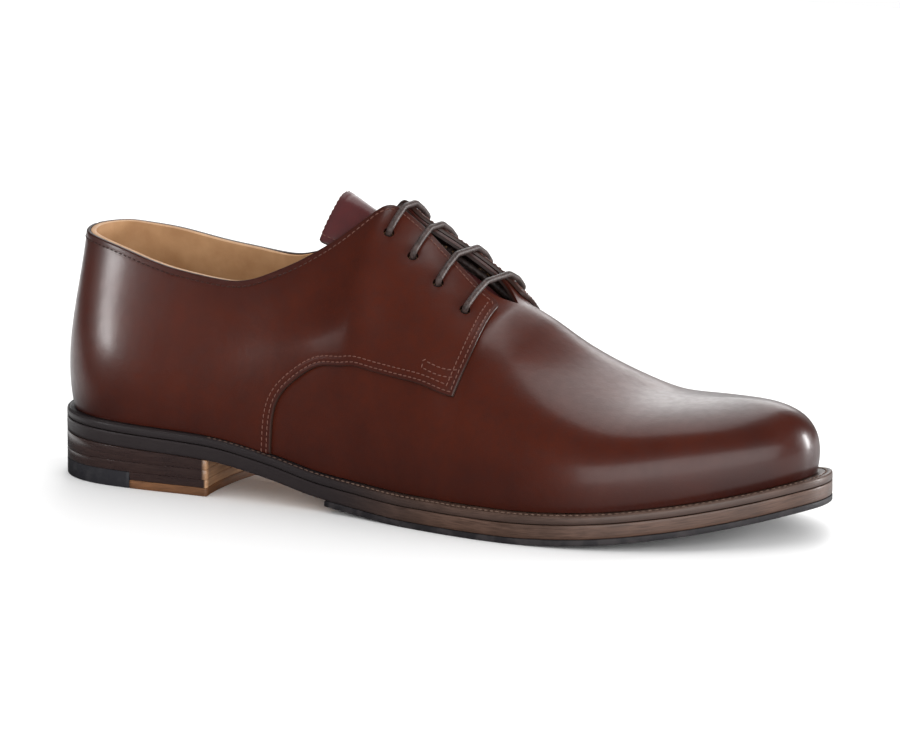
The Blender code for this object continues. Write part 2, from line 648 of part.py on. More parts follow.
def build_punch():
    """One cutter with a pin through each lace hole."""
    shared = bpy.data.collections.new("cutters")
    bpy.context.scene.collection.children.link(shared)
    points, faces = [], []
    sides = 12
    turn = np.linspace(0, 2 * math.pi, sides, endpoint=False)
    for side in (-1, 1):
        for eyelet in EYELETS:
            ends = [skin(side, eyelet.around, eyelet.up, out) for out in (-5 * MM, 5 * MM)]
            axis = (ends[1] - ends[0]) / np.linalg.norm(ends[1] - ends[0])
            first = np.cross(axis, (1.0, 0, 0))
            first /= np.linalg.norm(first)
            second = np.cross(axis, first)
            ring = HOLE_RADIUS * (np.cos(turn)[:, None] * first + np.sin(turn)[:, None] * second)
            base = len(points)
            points += [*(ends[0] + ring), *(ends[1] + ring)]
            faces += [(base + i, base + (i + 1) % sides, base + sides + (i + 1) % sides, base + sides + i) for i in range(sides)]
            faces += [tuple(base + i for i in range(sides))[::-1], tuple(base + sides + i for i in range(sides))]
    punch = solid("hole_punch", np.array(points), faces, material("punch", (0.5, 0.5, 0.5), 0.5))
    bpy.context.scene.collection.objects.unlink(punch)
    shared.objects.link(punch)
    punch.display_type = "WIRE"
    punch.hide_render = True
    return punch


def cut(made, punch):
    holes = made.modifiers.new("holes", "BOOLEAN")
    holes.operation = "DIFFERENCE"
    holes.solver = "EXACT"
    holes.object = punch


def main():
    for old in list(bpy.data.objects):
        bpy.data.objects.remove(old)
    punch = build_punch()
    build_sole()
    build_heel()
    build_upper(punch)
    calf = material("quarter", (0.17, 0.045, 0.025), 0.3)
    build_quarter("quarter_lateral", -1, punch, calf)
    build_quarter("quarter_medial", 1, punch, calf)
    build_tongue()
    build_lace()


main()
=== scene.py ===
"""The looks of a derby shoe for the right foot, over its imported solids, in metres.

Every form of the upper comes from one last. A place on it is named by how far round the shoe it lies, from
the back seam (0) to the toe (1), and how far up from the welt (0) to the top edge or the ridge (1), and it is
then given as (reach, side, height): reach from the back of the sole, side towards the medial side, height
above the floor. Each piece of leather is a grid of such places, moved in or out by its own thickness.
"""

import math
from collections import namedtuple

import bmesh
import bpy
import numpy as np
from mathutils import Matrix, Vector


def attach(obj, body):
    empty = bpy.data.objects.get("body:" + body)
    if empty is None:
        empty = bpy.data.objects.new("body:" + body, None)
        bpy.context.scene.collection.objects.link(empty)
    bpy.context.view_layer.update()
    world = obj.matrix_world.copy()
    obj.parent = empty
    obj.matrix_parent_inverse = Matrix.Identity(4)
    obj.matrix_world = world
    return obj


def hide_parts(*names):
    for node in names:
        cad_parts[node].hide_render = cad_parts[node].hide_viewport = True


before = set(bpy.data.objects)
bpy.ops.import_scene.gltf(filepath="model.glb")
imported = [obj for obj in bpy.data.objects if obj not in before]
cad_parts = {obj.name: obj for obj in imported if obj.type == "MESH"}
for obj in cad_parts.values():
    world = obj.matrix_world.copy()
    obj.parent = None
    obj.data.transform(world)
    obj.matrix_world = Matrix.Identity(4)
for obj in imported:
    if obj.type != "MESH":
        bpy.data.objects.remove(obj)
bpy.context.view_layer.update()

MM = 0.001

# Insole: a tan leather sheet, cut to the bottom of the last, that the whole shoe is built on. It lies inside
# the welt, under the sock.
INSOLE_PALE = (0.42, 0.25, 0.13)
INSOLE_DEEP = (0.30, 0.16, 0.08)


def node(tree, kind, inputs=None, **settings):
    """A shader node with its settings, each input a plain value or the output that feeds it."""
    made = tree.nodes.new(kind)
    for key, value in settings.items():
        setattr(made, key, value)
    for key, value in (inputs or {}).items():
        if isinstance(value, bpy.types.NodeSocket):
            tree.links.new(value, made.inputs[key])
        else:
            made.inputs[key].default_value = value
    return made


def node_group(name, inputs, outputs):
    """An empty shader node group with named inputs (name, socket kind, value) and outputs (name, kind)."""
    tree = bpy.data.node_groups.new(name, "ShaderNodeTree")
    for label, kind, value in inputs:
        tree.interface.new_socket(label, in_out="INPUT", socket_type=kind).default_value = value
    for label, kind in outputs:
        tree.interface.new_socket(label, in_out="OUTPUT", socket_type=kind)
    return tree, tree.nodes.new("NodeGroupInput").outputs, tree.nodes.new("NodeGroupOutput").inputs


def mix(tree, share, low, high):
    """Colour low turned towards high by the share."""
    made = node(tree, "ShaderNodeMix", data_type="RGBA", clamp_factor=True)
    for socket, value in ((made.inputs[0], share), (made.inputs[6], low), (made.inputs[7], high)):
        if isinstance(value, bpy.types.NodeSocket):
            tree.links.new(value, socket)
        else:
            socket.default_value = value
    return made.outputs[2]


def ramp(tree, value, low, high, to_low=0.0, to_high=1.0):
    """A value from the range low to high turned into to_low to to_high, and held at its ends."""
    spread = {"Value": value, "From Min": low, "From Max": high, "To Min": to_low, "To Max": to_high}
    return node(tree, "ShaderNodeMapRange", spread).outputs[0]


def calc(tree, kind, *values):
    """One sum on values or outputs, by the Math node's own name for it."""
    made = node(tree, "ShaderNodeMath", operation=kind)
    for socket, value in zip(made.inputs, values):
        if isinstance(value, bpy.types.NodeSocket):
            tree.links.new(value, socket)
        else:
            socket.default_value = value
    return made.outputs[0]


def material(name, roughness, coat=0.0, coat_roughness=0.1, specular=0.5):
    """An empty material with its shader, whose even gloss is set on the shader's own sockets."""
    made = bpy.data.materials.new(name)
    made.use_nodes = True
    shader = made.node_tree.nodes["Principled BSDF"]
    for key, value in (("Roughness", roughness), ("Coat Weight", coat), ("Coat Roughness", coat_roughness)):
        shader.inputs[key].default_value = value
    shader.inputs["Specular IOR Level"].default_value = specular
    return made, made.node_tree, shader


def feed(tree, shader, colour=None, roughness=None, height=None, lift=0.05 * MM):
    """Colour, roughness and relief into a shader, the relief through a bump of that depth."""
    if colour is not None:
        tree.links.new(colour, shader.inputs["Base Color"])
    if roughness is not None:
        tree.links.new(roughness, shader.inputs["Roughness"])
    if height is not None:
        bump = node(tree, "ShaderNodeBump", {"Height": height, "Strength": 1.0, "Distance": lift})
        tree.links.new(bump.outputs[0], shader.inputs["Normal"])


def leather_grain_group():
    """Pores: distance in small cells plus fine noise, as a height, and a slow cloudiness for the dye."""
    sizes = [("Vector", "NodeSocketVector", (0, 0, 0)), ("Pore", "NodeSocketFloat", 0.5 * MM)]
    sizes += [("Cloud", "NodeSocketFloat", 12 * MM)]
    outs = [("Height", "NodeSocketFloat"), ("Clouds", "NodeSocketFloat"), ("Flecks", "NodeSocketFloat")]
    tree, given, made = node_group("leather_grain", sizes, outs)
    fine = calc(tree, "DIVIDE", 1.0, given["Pore"])
    cells = node(tree, "ShaderNodeTexVoronoi", {"Vector": given["Vector"], "Scale": fine, "Randomness": 1.0})
    cells.feature = "SMOOTH_F1"
    tooth = node(tree, "ShaderNodeTexNoise", {"Vector": given["Vector"], "Scale": fine, "Detail": 3.0})
    tree.links.new(calc(tree, "ADD", cells.outputs["Distance"], tooth.outputs["Fac"]), made["Height"])
    slow = calc(tree, "DIVIDE", 1.0, given["Cloud"])
    cloud = node(tree, "ShaderNodeTexNoise", {"Vector": given["Vector"], "Scale": slow, "Detail": 3.0})
    tree.links.new(ramp(tree, cloud.outputs["Fac"], 0.3, 0.7), made["Clouds"])
    middle = calc(tree, "DIVIDE", 0.16, given["Pore"])
    fleck = node(tree, "ShaderNodeTexNoise", {"Vector": given["Vector"], "Scale": middle, "Detail": 2.0})
    tree.links.new(ramp(tree, fleck.outputs["Fac"], 0.35, 0.65), made["Flecks"])
    return tree


LEATHER_GRAIN = leather_grain_group()


def grain(tree, pore, cloud):
    """The leather grain on Object coordinates, with its own pore and cloud size."""
    where = node(tree, "ShaderNodeTexCoord").outputs["Object"]
    made = node(tree, "ShaderNodeGroup", node_tree=LEATHER_GRAIN)
    tree.links.new(where, made.inputs["Vector"])
    made.inputs["Pore"].default_value = pore
    made.inputs["Cloud"].default_value = cloud
    return made.outputs


def soft_leather(name, pale, deep, roughness, coat=0.0, painted_shade_tone=None):
    """An unpolished leather: two tones in clouds, fine flecks and an even, open grain, and painted shade of
    the given tone where shade is high."""
    made, tree, shader = material(name, roughness, coat=coat, coat_roughness=0.3, specular=0.3)
    pores = grain(tree, 0.6 * MM, 9 * MM)
    tone = mix(tree, pores["Clouds"], (*deep, 1), (*pale, 1))
    flecked = mix(tree, ramp(tree, pores["Flecks"], 0, 1, 0, 0.25), tone, (*deep, 1))
    # Painted shade: where the shade attribute is high, the leather is turned to the given dark tone
    if painted_shade_tone is not None:
        shade = node(tree, "ShaderNodeAttribute", attribute_name="shade").outputs["Fac"]
        flecked = mix(tree, shade, flecked, (*painted_shade_tone, 1))
    feed(tree, shader, flecked, height=pores["Height"], lift=0.03 * MM)
    return made


insole_board = soft_leather("insole_leather", INSOLE_PALE, INSOLE_DEEP, 0.75)
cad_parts["insole"].data.materials.clear()
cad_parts["insole"].data.materials.append(insole_board)

# Sock: a thin full-length lining leather, cut to the insole's shape and glued over it. It reaches to the
# lining all round, and its edge is pressed down along the feather line.
SOLE_LENGTH = 305 * MM
HEEL_WIDTH = 68 * MM
WAIST_WIDTH = 66 * MM
BALL_WIDTH = 107 * MM
TOE_SWING = 6 * MM
WELT_SHOW_HEEL = 3.0 * MM
WELT_SHOW_FORE = 5.5 * MM
SEAT_HEIGHT = 16.6 * MM
BREAST_HEIGHT = 13.6 * MM
TOE_SPRING = 12.5 * MM
HALF_SOLE = 2.0 * MM
OUTSOLE = 5.2 * MM
CLEAR = 0.3 * MM
INSOLE = 3.0 * MM

# The sole's edge: at each share of its length, how far it goes to either side, as a share of one width
Girth = namedtuple("Girth", "reach lateral medial follows")
SOLE_OUTLINE = (
    Girth(0.013, 0.235, 0.235, HEEL_WIDTH),
    Girth(0.036, 0.365, 0.36, HEEL_WIDTH),
    Girth(0.070, 0.455, 0.45, HEEL_WIDTH),
    Girth(0.120, 0.497, 0.492, HEEL_WIDTH),
    Girth(0.220, 0.515, 0.480, WAIST_WIDTH),
    Girth(0.320, 0.535, 0.450, WAIST_WIDTH),
    Girth(0.420, 0.590, 0.465, WAIST_WIDTH),
    Girth(0.520, 0.430, 0.345, BALL_WIDTH),
    Girth(0.600, 0.480, 0.420, BALL_WIDTH),
    Girth(0.680, 0.505, 0.475, BALL_WIDTH),
    Girth(0.755, 0.492, 0.494, BALL_WIDTH),
    Girth(0.830, 0.430, 0.478, BALL_WIDTH),
    Girth(0.895, 0.335, 0.425, BALL_WIDTH),
    Girth(0.950, 0.210, 0.335, BALL_WIDTH),
    Girth(0.985, 0.080, 0.222, BALL_WIDTH),
)
# The outsole's underside: at each share of its length, its rise as a share of one height, over a base
Level = namedtuple("Level", "reach rise follows base")
FOREPART = HALF_SOLE + CLEAR
UNDERSIDE = (
    Level(0.00, 1.00, SEAT_HEIGHT, 0),
    Level(0.12, 0.91, SEAT_HEIGHT, 0),
    Level(0.24, 1.00, BREAST_HEIGHT, 0),
    Level(0.33, 0.70, BREAST_HEIGHT, 0),
    Level(0.40, 0.38, BREAST_HEIGHT, 0),
    Level(0.46, 0.09, BREAST_HEIGHT, FOREPART),
    Level(0.53, 0.00, BREAST_HEIGHT, FOREPART),
    Level(0.67, 0.00, TOE_SPRING, FOREPART),
    Level(0.77, 0.10, TOE_SPRING, FOREPART),
    Level(0.87, 0.38, TOE_SPRING, FOREPART),
    Level(0.94, 0.68, TOE_SPRING, FOREPART),
    Level(1.00, 1.00, TOE_SPRING, FOREPART),
)


def spline(xs, ys, x):
    """Natural cubic spline through the points (xs, ys): cubics whose slope and bend agree where they meet."""
    xs, ys, x = (np.asarray(a, float) for a in (xs, ys, x))
    step = np.diff(xs)
    rise = np.diff(ys) / step
    system = np.diag(np.r_[1, 2 * (step[:-1] + step[1:]), 1])
    system += np.diag(np.r_[step[:-1], 0], -1) + np.diag(np.r_[0, step[1:]], 1)
    bend = np.linalg.solve(system, np.r_[0, 6 * np.diff(rise), 0])
    i = np.clip(np.searchsorted(xs, x) - 1, 0, len(step) - 1)
    a, b = xs[i + 1] - x, x - xs[i]
    return (
        (bend[i] * a**3 + bend[i + 1] * b**3) / (6 * step[i])
        + (ys[i] / step[i] - bend[i] * step[i] / 6) * a
        + (ys[i + 1] / step[i] - bend[i + 1] * step[i] / 6) * b
    )


def level(xs, ys, x, flat_ends=False):
    """Cubic through the points that never overshoots: each slope is the harmonic mean of its two chords."""
    xs, ys, x = (np.asarray(a, float) for a in (xs, ys, x))
    step = np.diff(xs)
    rise = np.diff(ys) / step
    turn = rise[:-1] * rise[1:] <= 0
    slope = np.where(turn, 0, 2 * rise[:-1] * rise[1:] / np.where(turn, 1, rise[:-1] + rise[1:]))
    slope = np.r_[0, slope, 0] if flat_ends else np.r_[rise[0], slope, rise[-1]]
    i = np.clip(np.searchsorted(xs, x) - 1, 0, len(step) - 1)
    t = (x - xs[i]) / step[i]
    return (
        ys[i] * (1 + 2 * t) * (1 - t) ** 2
        + ys[i + 1] * t**2 * (3 - 2 * t)
        + step[i] * (slope[i] * t * (1 - t) ** 2 - slope[i + 1] * t**2 * (1 - t))
    )


def ease(x, low, high):
    """0 up to low, 1 from high on, and between them three t squared less two t cubed."""
    t = np.clip((np.asarray(x, float) - low) / (high - low), 0, 1)
    return t * t * (3 - 2 * t)


def underside(reach):
    """Height of the outsole's underside: the table's rises, read at this share of the length, and blurred by
    a bell where the shank and the toe bend."""
    at = np.linspace(0, 1, 801)
    rises = [row.rise * row.follows + row.base for row in UNDERSIDE]
    heights = level([row.reach for row in UNDERSIDE], rises, at)
    blur = np.exp(-0.5 * (np.arange(-24, 25) / 9.0) ** 2)
    smooth = np.convolve(np.pad(heights, 24, mode="edge"), blur / blur.sum(), mode="valid")
    keep = ease(at, 0.20, 0.27) * (1 - ease(at, 0.50, 0.54)) + ease(at, 0.66, 0.74)
    return np.interp(np.asarray(reach) / SOLE_LENGTH, at, heights + (smooth - heights) * keep)


def closed_outline(count=1440):
    """The sole's edge from above: a spline by length through the heel, lateral, toe and medial points."""
    lateral = [(row.reach * SOLE_LENGTH, -row.lateral * row.follows) for row in SOLE_OUTLINE]
    medial = [(row.reach * SOLE_LENGTH, row.medial * row.follows) for row in reversed(SOLE_OUTLINE)]
    loop = np.array([(0.0, 0.0), *lateral, (SOLE_LENGTH, TOE_SWING), *medial])
    wrap = 4
    around = np.concatenate([loop[-wrap:], loop, loop[: wrap + 1]])
    along = np.r_[0, np.cumsum(np.hypot(*np.diff(around, axis=0).T))]
    at = np.linspace(along[wrap], along[wrap + len(loop)], count, endpoint=False)
    return np.stack([spline(along, around[:, k], at) for k in (0, 1)], axis=1)


def moved_in(outline, by):
    """The closed outline with each point moved square to it, inwards, by its own distance."""
    along = np.roll(outline, -1, axis=0) - np.roll(outline, 1, axis=0)
    along /= np.hypot(*along.T)[:, None]
    inwards = np.stack([-along[:, 1], along[:, 0]], axis=1)
    return outline + inwards * np.broadcast_to(by, len(outline))[:, None]


def side_of(outline, side, share):
    """Points of one side of a closed outline at these shares of the length from its back to its toe."""
    toe = int(np.argmax(outline[:, 0]))
    back = int(np.argmin(outline[:, 0]))
    loop = np.roll(outline, -back, axis=0)
    toe = (toe - back) % len(outline)
    half = loop[: toe + 1] if side < 0 else np.concatenate([loop[:1], loop[: toe - 1 : -1]])
    along = np.r_[0, np.cumsum(np.hypot(*np.diff(half, axis=0).T))]
    return np.stack([np.interp(np.asarray(share) * along[-1], along, half[:, k]) for k in (0, 1)], axis=-1)


def ring_of(outline, half=340):
    """A closed outline as 2n places: the lateral side from back to toe, then the medial side back again."""
    share = np.linspace(0, 1, half + 1)
    return np.concatenate([side_of(outline, -1, share[:-1]), side_of(outline, 1, share[:0:-1])])


def welt_width(reach):
    """How far the welt stands out from the upper: least round the heel, and eased to its most by the ball."""
    return WELT_SHOW_HEEL + (WELT_SHOW_FORE - WELT_SHOW_HEEL) * ease(reach / SOLE_LENGTH, 0.3, 0.55)


SOLE = closed_outline()
FEATHER = moved_in(SOLE, welt_width(SOLE[:, 0]))
# The middle of the sole's full width, sideways from the point at its back
MIDDLE = -0.0006205633953178386


def place(points):
    """(reach, side, height) to the shoe's own frame, whose toe points to -Y and medial side to +X."""
    points = np.asarray(points, float)
    return np.stack([points[..., 1] - MIDDLE, SOLE_LENGTH / 2 - points[..., 0], points[..., 2]], axis=-1)


def made_of(name, grids, look, replaced=(), marks=None, weld=0.004 * MM):
    """A piece welded from grids of places, each of shape (..., rows, columns, 3): neighbours are joined by
    faces, and a grid with further dimensions is a repeat of like grids. Faces are turned outwards. marks
    holds, by name, a value for each place of each grid, kept as an attribute that the material reads."""
    points, faces, first = [], [], 0
    for grid in grids:
        rows, columns = grid.shape[-3:-1]
        count = int(np.prod(grid.shape[:-3]))
        corner = (np.arange(rows - 1)[:, None] * columns + np.arange(columns - 1)).ravel()
        quad = corner[:, None] + np.array([0, 1, columns + 1, columns])
        faces.append((first + np.arange(count)[:, None, None] * rows * columns + quad).reshape(-1, 4))
        points.append(grid.reshape(-1, 3))
        first += count * rows * columns
    mesh = bpy.data.meshes.new(name)
    mesh.from_pydata(place(np.concatenate(points)).tolist(), [], np.concatenate(faces).tolist())
    for key, values in (marks or {}).items():
        spread = [np.broadcast_to(value, grid.shape[:-1]).ravel() for value, grid in zip(values, grids)]
        mesh.attributes.new(key, "FLOAT", "POINT").data.foreach_set("value", np.concatenate(spread))
    work = bmesh.new()
    work.from_mesh(mesh)
    bmesh.ops.remove_doubles(work, verts=work.verts, dist=weld)
    bmesh.ops.dissolve_degenerate(work, edges=work.edges, dist=0.0005 * MM)
    bmesh.ops.recalc_face_normals(work, faces=work.faces)
    work.to_mesh(mesh)
    work.free()
    mesh.shade_smooth()
    mesh.materials.append(look)
    piece = bpy.data.objects.new(name, mesh)
    bpy.context.scene.collection.objects.link(piece)
    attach(piece, "root")
    if replaced:
        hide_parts(*replaced)
    return piece


def round_edge(outline, profile, base):
    """Loops round an outline of 2n places, lateral side then medial, one for each (inset, rise) of the
    profile: the outline moved in by the inset, at base(reach) plus the rise. The first place comes again."""
    loops = []
    for inset, rise in profile:
        loop = moved_in(outline, inset)
        loops.append(np.column_stack([loop, base(loop[:, 0]) + rise]))
    loops = np.array(loops)
    return np.concatenate([loops, loops[:, :1]], axis=1)


def across(loop, count):
    """A sheet inside a loop of 2n places: straight rows from each lateral place to the medial one across."""
    half = (len(loop) - 1) // 2
    lateral, medial = loop[: half + 1], loop[::-1][: half + 1]
    t = np.linspace(0, 1, count)[None, :, None]
    return lateral[:, None] * (1 - t) + medial[:, None] * t


def welt_foot(reach):
    """Height of the outsole's upper face with its glue line, where welt and insole sit."""
    return underside(reach) + OUTSOLE + CLEAR


SOCK = 0.9 * MM
SOCK_IN = 2.3 * MM
UNDER_SOCK = INSOLE + 0.12 * MM
feather_ring = ring_of(FEATHER)
sock_edge = round_edge(
    feather_ring,
    [
        (SOCK_IN + 3.0 * MM, UNDER_SOCK),
        (SOCK_IN, UNDER_SOCK),
        (SOCK_IN, UNDER_SOCK + 0.6 * SOCK),
        (SOCK_IN + 0.4 * MM, UNDER_SOCK + SOCK),
        (SOCK_IN + 2.0 * MM, UNDER_SOCK + SOCK),
        (SOCK_IN + 6.0 * MM, UNDER_SOCK + 0.9 * SOCK),
    ],
    welt_foot,
)
sock_leather = soft_leather("sock_leather", (0.50, 0.30, 0.155), (0.40, 0.225, 0.11), 0.62)
made_of("sock", [sock_edge, across(sock_edge[0], 12), across(sock_edge[-1], 24)], sock_leather)

# Vamp: polished calf, drawn over the last and sewn to the insole and welt at its feather edge. It runs from
# under the quarters round the toe, with the throat opening above the tongue.
BACK_HEIGHT = 66.5 * MM
ANKLE_HEIGHT = 57 * MM
MEDIAL_RISE = 3 * MM
INSTEP_HEIGHT = 96 * MM
TOE_HEIGHT = 32.5 * MM
COLLAR_WIDTH = 48 * MM
FACING_GAP = 14 * MM
UPPER_WALL = 2.0 * MM
WELT = 3.0 * MM
QUARTER = 1.3 * MM
VAMP_CALF = 0.95 * MM

# The section curves: place round the shoe; the top's reach, half width and rise over the welt, the last two
# as shares of one measure; in degrees the turn of the curve, its slope at the top and its lean at the foot;
# and how strongly foot and top pull it
Section = namedtuple("Section", "around reach half half_of rise rise_of fan slope lean foot_pull top_pull")
SECTIONS = (
    Section(0.000, 0.0255, 0.00, COLLAR_WIDTH, 1.000, BACK_HEIGHT, -90, 84, 79, 0.36, 0.36),
    Section(0.080, 0.044, 0.33, COLLAR_WIDTH, 0.995, BACK_HEIGHT, -46, 83, 79, 0.36, 0.36),
    Section(0.150, 0.096, 0.455, COLLAR_WIDTH, 0.962, BACK_HEIGHT, -10, 82, 80, 0.36, 0.36),
    Section(0.220, 0.184, 0.50, COLLAR_WIDTH, 1.025, ANKLE_HEIGHT, 0, 81, 83, 0.38, 0.36),
    Section(0.280, 0.256, 0.495, COLLAR_WIDTH, 1.000, ANKLE_HEIGHT, 0, 78, 86, 0.40, 0.36),
    Section(0.340, 0.325, 0.45, COLLAR_WIDTH, 0.697, INSTEP_HEIGHT, 0, 70, 88, 0.42, 0.36),
    Section(0.390, 0.381, 0.35, COLLAR_WIDTH, 0.838, INSTEP_HEIGHT, 0, 58, 89, 0.43, 0.36),
    Section(0.425, 0.418, 0.21, COLLAR_WIDTH, 0.952, INSTEP_HEIGHT, 0, 42, 89, 0.44, 0.35),
    Section(0.447, 0.440, 0.11, COLLAR_WIDTH, 1.008, INSTEP_HEIGHT, 0, 30, 89, 0.45, 0.34),
    Section(0.470, 0.466, 0.20, FACING_GAP, 0.962, INSTEP_HEIGHT, 0, 24, 89, 0.45, 0.36),
    Section(0.510, 0.520, 0.50, FACING_GAP, 0.862, INSTEP_HEIGHT, 0, 22, 88, 0.45, 0.34),
    Section(0.550, 0.566, 0.64, FACING_GAP, 0.760, INSTEP_HEIGHT, 0, 18, 87, 0.45, 0.35),
    Section(0.570, 0.590, 0.36, FACING_GAP, 0.702, INSTEP_HEIGHT, 0, 7, 87, 0.45, 0.36),
    Section(0.582, 0.602, 0.00, FACING_GAP, 0.680, INSTEP_HEIGHT, 0, 0, 86, 0.45, 0.37),
    Section(0.640, 0.664, 0.00, FACING_GAP, 0.553, INSTEP_HEIGHT, 0, 0, 84, 0.46, 0.40),
    Section(0.700, 0.727, 0.00, FACING_GAP, 0.446, INSTEP_HEIGHT, 0, 0, 82, 0.48, 0.44),
    Section(0.760, 0.783, 0.00, FACING_GAP, 1.088, TOE_HEIGHT, 8, 0, 80, 0.50, 0.48),
    Section(0.830, 0.826, 0.00, FACING_GAP, 1.034, TOE_HEIGHT, 28, 0, 79, 0.52, 0.51),
    Section(0.910, 0.852, 0.00, FACING_GAP, 1.010, TOE_HEIGHT, 57, 0, 78, 0.53, 0.53),
    Section(1.000, 0.866, 0.00, FACING_GAP, 1.000, TOE_HEIGHT, 90, 0, 77, 0.53, 0.54),
)
THROAT_END = SECTIONS[13].around
AT = np.linspace(0, 1, 1401)


def blurred(values, odd_back=False, odd_toe=False):
    """Values along AT, blurred so that gloss runs smoothly over them: less between the ankle and the throat.
    Beyond each end they are mirrored, and turned over about the end's own value where that end is odd."""
    pad = 80
    back, toe = values[1 : pad + 1][::-1], values[-pad - 1 : -1][::-1]
    back = 2 * values[0] - back if odd_back else back
    toe = 2 * values[-1] - toe if odd_toe else toe
    long = np.r_[back, values, toe]
    made = []
    for spread in (18.0, 9.0):
        blur = np.exp(-0.5 * (np.arange(-pad, pad + 1) / spread) ** 2)
        made.append(np.convolve(long, blur / blur.sum(), mode="valid"))
    fine = ease(AT, 0.30, 0.36) * (1 - ease(AT, 0.58, 0.66))
    return made[0] * (1 - fine) + made[1] * fine


def column_of(name, **ends):
    """One column of SECTIONS, read and blurred along AT."""
    column = [getattr(row, name) for row in SECTIONS]
    return blurred(level([row.around for row in SECTIONS], column, AT, name != "fan"), **ends)


def welt_top(reach):
    """Height of the welt's upper face, where the upper's feather edge lies."""
    return underside(reach) + OUTSOLE + CLEAR + WELT


def section_curves(side):
    """The corners of the sections' cubic curves, from foot to top, as an array (4, places along AT, 3)."""
    foot = side_of(FEATHER, side, AT)
    after, before = np.minimum(AT + 0.004, 1), np.maximum(AT - 0.004, 0)
    along = side_of(FEATHER, side, after) - side_of(FEATHER, side, before)
    along /= np.hypot(*along.T)[:, None]
    outward = side * np.stack([-along[:, 1], along[:, 0]], axis=1)
    outward[0], outward[-1] = (-1, 0), (1, 0)
    foot = np.column_stack([foot, welt_top(foot[:, 0])])
    around = [row.around for row in SECTIONS]
    reach = column_of("reach") * SOLE_LENGTH
    mirror = np.minimum(AT, 2 * THROAT_END - AT)
    half = level(around, [row.half * row.half_of for row in SECTIONS], mirror)
    half = blurred(np.where(AT > THROAT_END, -half, half), odd_back=True) * (AT < THROAT_END)
    rise = blurred(level(around, [row.rise * row.rise_of for row in SECTIONS], AT, True))
    centre = TOE_SWING * ease(reach / SOLE_LENGTH, 0.05, 0.9)
    dip = np.arctan2(-np.gradient(rise + welt_top(reach)), np.maximum(np.gradient(reach), 1e-9))
    dip = blurred(np.where(AT > 0.985, np.interp(0.985, AT, dip), dip))
    if side > 0:
        rise = rise + MEDIAL_RISE * ease(AT, 0.1, 0.25) * (1 - ease(AT, 0.3, 0.42))
    top = np.column_stack([reach, centre + side * half, welt_top(reach) + rise])
    lean, slope = np.radians(column_of("lean")), np.radians(column_of("slope"))
    fan = np.radians(column_of("fan", odd_back=True, odd_toe=True))
    dip = dip * ease(fan, 0, 0.3)
    chord = np.linalg.norm(top - foot, axis=1)[:, None]
    rising = np.column_stack([outward * np.cos(lean)[:, None], np.sin(lean)])
    leaving = np.column_stack([np.sin(fan) * np.cos(dip), side * np.cos(fan), -np.sin(fan) * np.sin(dip)])
    leaving = leaving * np.cos(slope)[:, None] - np.array([0, 0, 1.0]) * np.sin(slope)[:, None]
    low = foot + rising * chord * column_of("foot_pull")[:, None]
    high = top + leaving * chord * column_of("top_pull")[:, None]
    return np.stack([foot, low, high, top])


CURVES = {side: section_curves(side) for side in (-1, 1)}


def last(side, around, up):
    """Places on the last: the section curve at around, read at the share up along it."""
    at = np.clip(around, 0, 1) * (len(AT) - 1)
    low = np.minimum(at.astype(int), len(AT) - 2)
    rest = (at - low)[..., None]
    foot, pull, lift, top = (corner[low] * (1 - rest) + corner[low + 1] * rest for corner in CURVES[side])
    t = up[..., None]
    return foot * (1 - t) ** 3 + 3 * pull * t * (1 - t) ** 2 + 3 * lift * t**2 * (1 - t) + top * t**3


def slopes(side, around, up):
    """How the last runs on towards the toe and upwards from each place, per unit of around and of up."""
    after, before = np.minimum(around + 0.003, 1), np.maximum(around - 0.003, 0)
    ahead = (last(side, after, up) - last(side, before, up)) / (after - before)[..., None]
    higher, lower = np.minimum(up + 0.003, 1), np.maximum(up - 0.003, 0)
    return ahead, (last(side, around, higher) - last(side, around, lower)) / (higher - lower)[..., None]


def facing_out(side, around, up):
    """Unit normals of the last, outwards."""
    ahead, rising = slopes(side, around, up)
    normal = side * np.cross(rising, ahead)
    normal[..., 1] *= (around > 0) & (around < 1)
    return normal / np.linalg.norm(normal, axis=-1)[..., None]


def sink(around, up):
    """How far vamp and lining lie in where a quarter covers them."""
    behind = 1 - ease(around, 0.22, 0.42)
    above = ease(up, 0.5, 0.8) * (1 - ease(around, 0.565, 0.62))
    return QUARTER * (1 - (1 - behind) * (1 - above))


# Soft troughs (below 0) and ridges where the calf gives: place, size along and up the side, turn in degrees
Fold = namedtuple("Fold", "around up length width turn depth")
FOLDS = (
    Fold(0.560, 0.30, 11 * MM, 5.0 * MM, 32, -0.06 * MM),
    Fold(0.600, 0.40, 13 * MM, 5.5 * MM, 48, 0.06 * MM),
    Fold(0.625, 0.62, 12 * MM, 5.0 * MM, 62, -0.12 * MM),
    Fold(0.660, 0.80, 14 * MM, 6.0 * MM, 70, -0.08 * MM),
    Fold(0.470, 0.18, 16 * MM, 4.5 * MM, 8, -0.10 * MM),
    Fold(0.400, 0.12, 12 * MM, 4.0 * MM, -12, 0.08 * MM),
    Fold(0.250, 0.55, 18 * MM, 6.0 * MM, 20, -0.10 * MM),
    Fold(0.180, 0.35, 16 * MM, 6.0 * MM, -18, 0.08 * MM),
    Fold(0.300, 0.80, 16 * MM, 6.0 * MM, 34, -0.06 * MM),
)
AROUND_LENGTH = 330 * MM
UP_LENGTH = 66 * MM


def give(around, up):
    """Depth of all folds at a place: each a bell, long one way and narrow the other, turned by its angle."""
    total = np.zeros(np.broadcast(around, up).shape)
    for fold in FOLDS:
        x, y = (around - fold.around) * AROUND_LENGTH, (up - fold.up) * UP_LENGTH
        turn = math.radians(fold.turn)
        along, aside = x * math.cos(turn) + y * math.sin(turn), y * math.cos(turn) - x * math.sin(turn)
        total = total + fold.depth * np.exp(-0.5 * ((along / fold.length) ** 2 + (aside / fold.width) ** 2))
    return total


